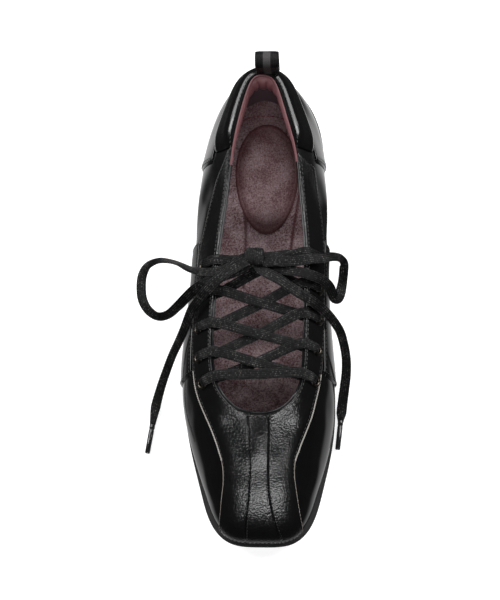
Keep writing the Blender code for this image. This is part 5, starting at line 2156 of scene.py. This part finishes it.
    def make_aglet(self, name: str, tip: Array, way: Array) -> Thing:
        """Makes the stiff tip of an end, crimped where the lace goes in.

        Args:
            name: the end's node.
            tip: where the lace ends.
            way: the lace's direction there.

        Returns:
            The aglet.
        """
        way = Vector((way[0], way[1], 0)).normalized()
        nose = [(self.aglet_length - back, share) for back, share in self.nose]
        run, share = np.array([*self.crimp, *nose]).T
        profile = np.stack([share * self.aglet_radius, run], axis=1)
        profile[[0, -1], 0] = self.axis_gap
        shape = lathe(profile, self.aglet_segments)
        spin = np.array(way.to_track_quat("Z", "Y").to_matrix())
        shape.points = shape.points @ spin.T + tip - self.aglet_overlap * np.array(way)
        node = name.replace("lace_end", "aglet")
        aglet = self.workshop.piece(node + "_tip", shape, AGLET_PLASTIC)
        return self.workshop.settle(aglet, Slot.AGLET, node)


class Light(NamedTuple):
    """An area light: its place and size in metres, its power and what it points at."""

    name: str
    place: Triple
    size: Pair
    power: float
    target: Triple


class FloorPatch(NamedTuple):
    """A pale oval of the floor that the shoe mirrors: its middle, half its width and length, and its glow."""

    middle: Pair
    half: Pair
    glow: float


@dataclass
class Studio:
    """Floor, light and camera."""

    tilt: float = math.radians(14)
    side: float = math.radians(3)
    roll: float = math.radians(0.75)
    distance: float = 1.30
    focal: float = 2032.0  # pixels in a frame of this height
    frame_height: float = 600.0
    zoom: float = 1.2
    sensor: float = 36.0
    target: Triple = (-0.0045, 0.0010, 0.030)
    glow: float = 0.74  # of the floor and its own tone, as the camera sees it
    pale: float = 0.60
    patches: tuple[FloorPatch, ...] = (
        FloorPatch((0.0, -0.056), (0.053, 0.077), 0.70),
        FloorPatch((-0.048, 0.030), (0.022, 0.055), 0.42),
        FloorPatch((0.0, 0.102), (0.066, 0.032), 1.0),
    )
    far: float = 0.008
    fade: float = 1.5
    shade: float = 0.015
    surround: float = 0.012
    corners: Table = ((-1, -1), (1, -1), (1, 1), (-1, 1))
    floor_half: float = 4.0
    floor_drop: float = 0.0002
    floor_roughness: float = 0.9
    sight: float = 20.0  # how far the camera sees
    lights: tuple[Light, ...] = (
        Light("front", (0.06, -0.83, 1.13), (0.82, 0.22), 6.9, (0.0, -0.05, 0.03)),
        Light("left", (-1.00, 0.30, 1.10), (0.26, 0.74), 6.4, (0.0, 0.0, 0.03)),
        Light("right", (1.00, 0.30, 1.10), (0.26, 0.74), 6.4, (0.0, 0.0, 0.03)),
        Light("back_left", (-0.90, 0.85, 0.92), (0.90, 0.85), 15.0, (0.0, 0.08, 0.05)),
        Light("back_right", (0.90, 0.85, 0.92), (0.90, 0.85), 15.0, (0.0, 0.08, 0.05)),
        Light("back", (0.0, 0.75, 1.30), (0.60, 0.40), 4.0, (0.0, -0.03, 0.03)),
    )

    def build(self) -> None:
        """Sets the stage."""
        self.make_floor()
        self.make_lights()
        self.make_camera()

    def make_floor(self) -> None:
        """A pale floor that stays white round the shoe."""
        corners = [(x * self.floor_half, y * self.floor_half, -self.floor_drop) for x, y in self.corners]
        mesh = bpy.data.meshes.new("floor")
        mesh.from_pydata(corners, [], [(0, 1, 2, 3)])
        material = bpy.data.materials.new("floor")
        material.use_nodes = True
        shader = material.node_tree.nodes["Principled BSDF"]
        kit = NodeKit(material.node_tree)
        seen = kit.add("ShaderNodeLightPath").outputs["Is Camera Ray"]
        kit.put(shader.inputs["Base Color"], kit.mix(seen, (*[self.shade] * 3, 1), (*[self.pale] * 3, 1)))
        place = kit.add("ShaderNodeTexCoord").outputs["Object"]
        bounce: float | Socket = self.far
        for patch in self.patches:
            wide, long = patch.half
            shift = (-patch.middle[0] / wide, -patch.middle[1] / long, 0)
            scaled = kit.add("ShaderNodeMapping", Vector=place, Location=shift, Scale=(1 / wide, 1 / long, 0))
            away = kit.add("ShaderNodeVectorMath", {"operation": "LENGTH"})
            kit.put(away.inputs[0], scaled.outputs[0])
            glow = kit.add(
                "ShaderNodeMapRange", {"interpolation_type": "SMOOTHSTEP"}, Value=away.outputs["Value"],
                From_Min=1.0, From_Max=self.fade, To_Min=patch.glow, To_Max=0.0,
            )
            bounce = kit.math("MAXIMUM", bounce, glow.outputs["Result"])
        strength = kit.add("ShaderNodeMix", {"data_type": "FLOAT"})
        for index, value in ((0, seen), (2, bounce), (3, self.glow)):
            kit.put(strength.inputs[index], value)
        kit.put(shader.inputs["Emission Strength"], strength.outputs[0])
        shader.inputs["Emission Color"].default_value = (1, 1, 1, 1)
        shader.inputs["Roughness"].default_value = self.floor_roughness
        shader.inputs["Specular IOR Level"].default_value = 0.0
        mesh.materials.append(material)
        floor = linked("floor", mesh)

    def make_lights(self) -> None:
        """Soft area lights and a dim surround."""
        for light in self.lights:
            data = bpy.data.lights.new(light.name, "AREA")
            data.shape = "RECTANGLE"
            data.size, data.size_y = light.size
            data.energy = light.power
            obj = linked(light.name, data)
            obj.location = light.place
            way = Vector(light.target) - Vector(light.place)
            obj.rotation_euler = way.to_track_quat("-Z", "Y").to_euler()
        world = bpy.data.worlds.new("surround")
        world.use_nodes = True
        background = world.node_tree.nodes["Background"]
        background.inputs["Color"].default_value = (*[self.surround] * 3, 1)
        bpy.context.scene.world = world
        bpy.context.scene.view_settings.view_transform = "Standard"

    def make_camera(self) -> None:
        """A long lens, nearly overhead, tipped towards the toe."""
        back = Vector((
            math.sin(self.side),
            -math.sin(self.tilt) * math.cos(self.side),
            math.cos(self.tilt) * math.cos(self.side),
        ))
        ahead = Vector(HEELWARD)
        up = (ahead - ahead.dot(back) * back).normalized()
        right = up.cross(back)
        turned_right = right * math.cos(self.roll) + up * math.sin(self.roll)
        turned_up = up * math.cos(self.roll) - right * math.sin(self.roll)
        data = bpy.data.cameras.new("camera")
        data.sensor_width = self.sensor
        data.lens = self.focal * self.zoom * self.sensor / self.frame_height
        data.clip_end = self.sight
        camera = linked("camera", data)
        place = Matrix.Translation(Vector(self.target) + back * self.distance)
        camera.matrix_world = place @ Matrix((turned_right, turned_up, back)).transposed().to_4x4()
        bpy.context.scene.camera = camera


def main() -> None:
    """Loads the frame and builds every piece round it."""
    logging.basicConfig(level=logging.INFO, format="%(name)s: %(message)s")
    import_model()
    last = Last()
    Studio().build()
    workshop = Workshop(Wardrobe())
    stitching = Stitching(workshop)
    eyelets = Eyelets(last, workshop)
    Lace(last, workshop, eyelets).build()
    holes = eyelets.cutter()
    Leather(last, workshop, stitching, holes).build()
    bpy.data.objects.remove(holes)
    eyelets.build()
    Sole(last, workshop).build()
    Footbed(last, workshop, stitching).build()
    PullLoop(last, workshop).build()
    stitching.build()


if __name__ == "__main__":
    main()
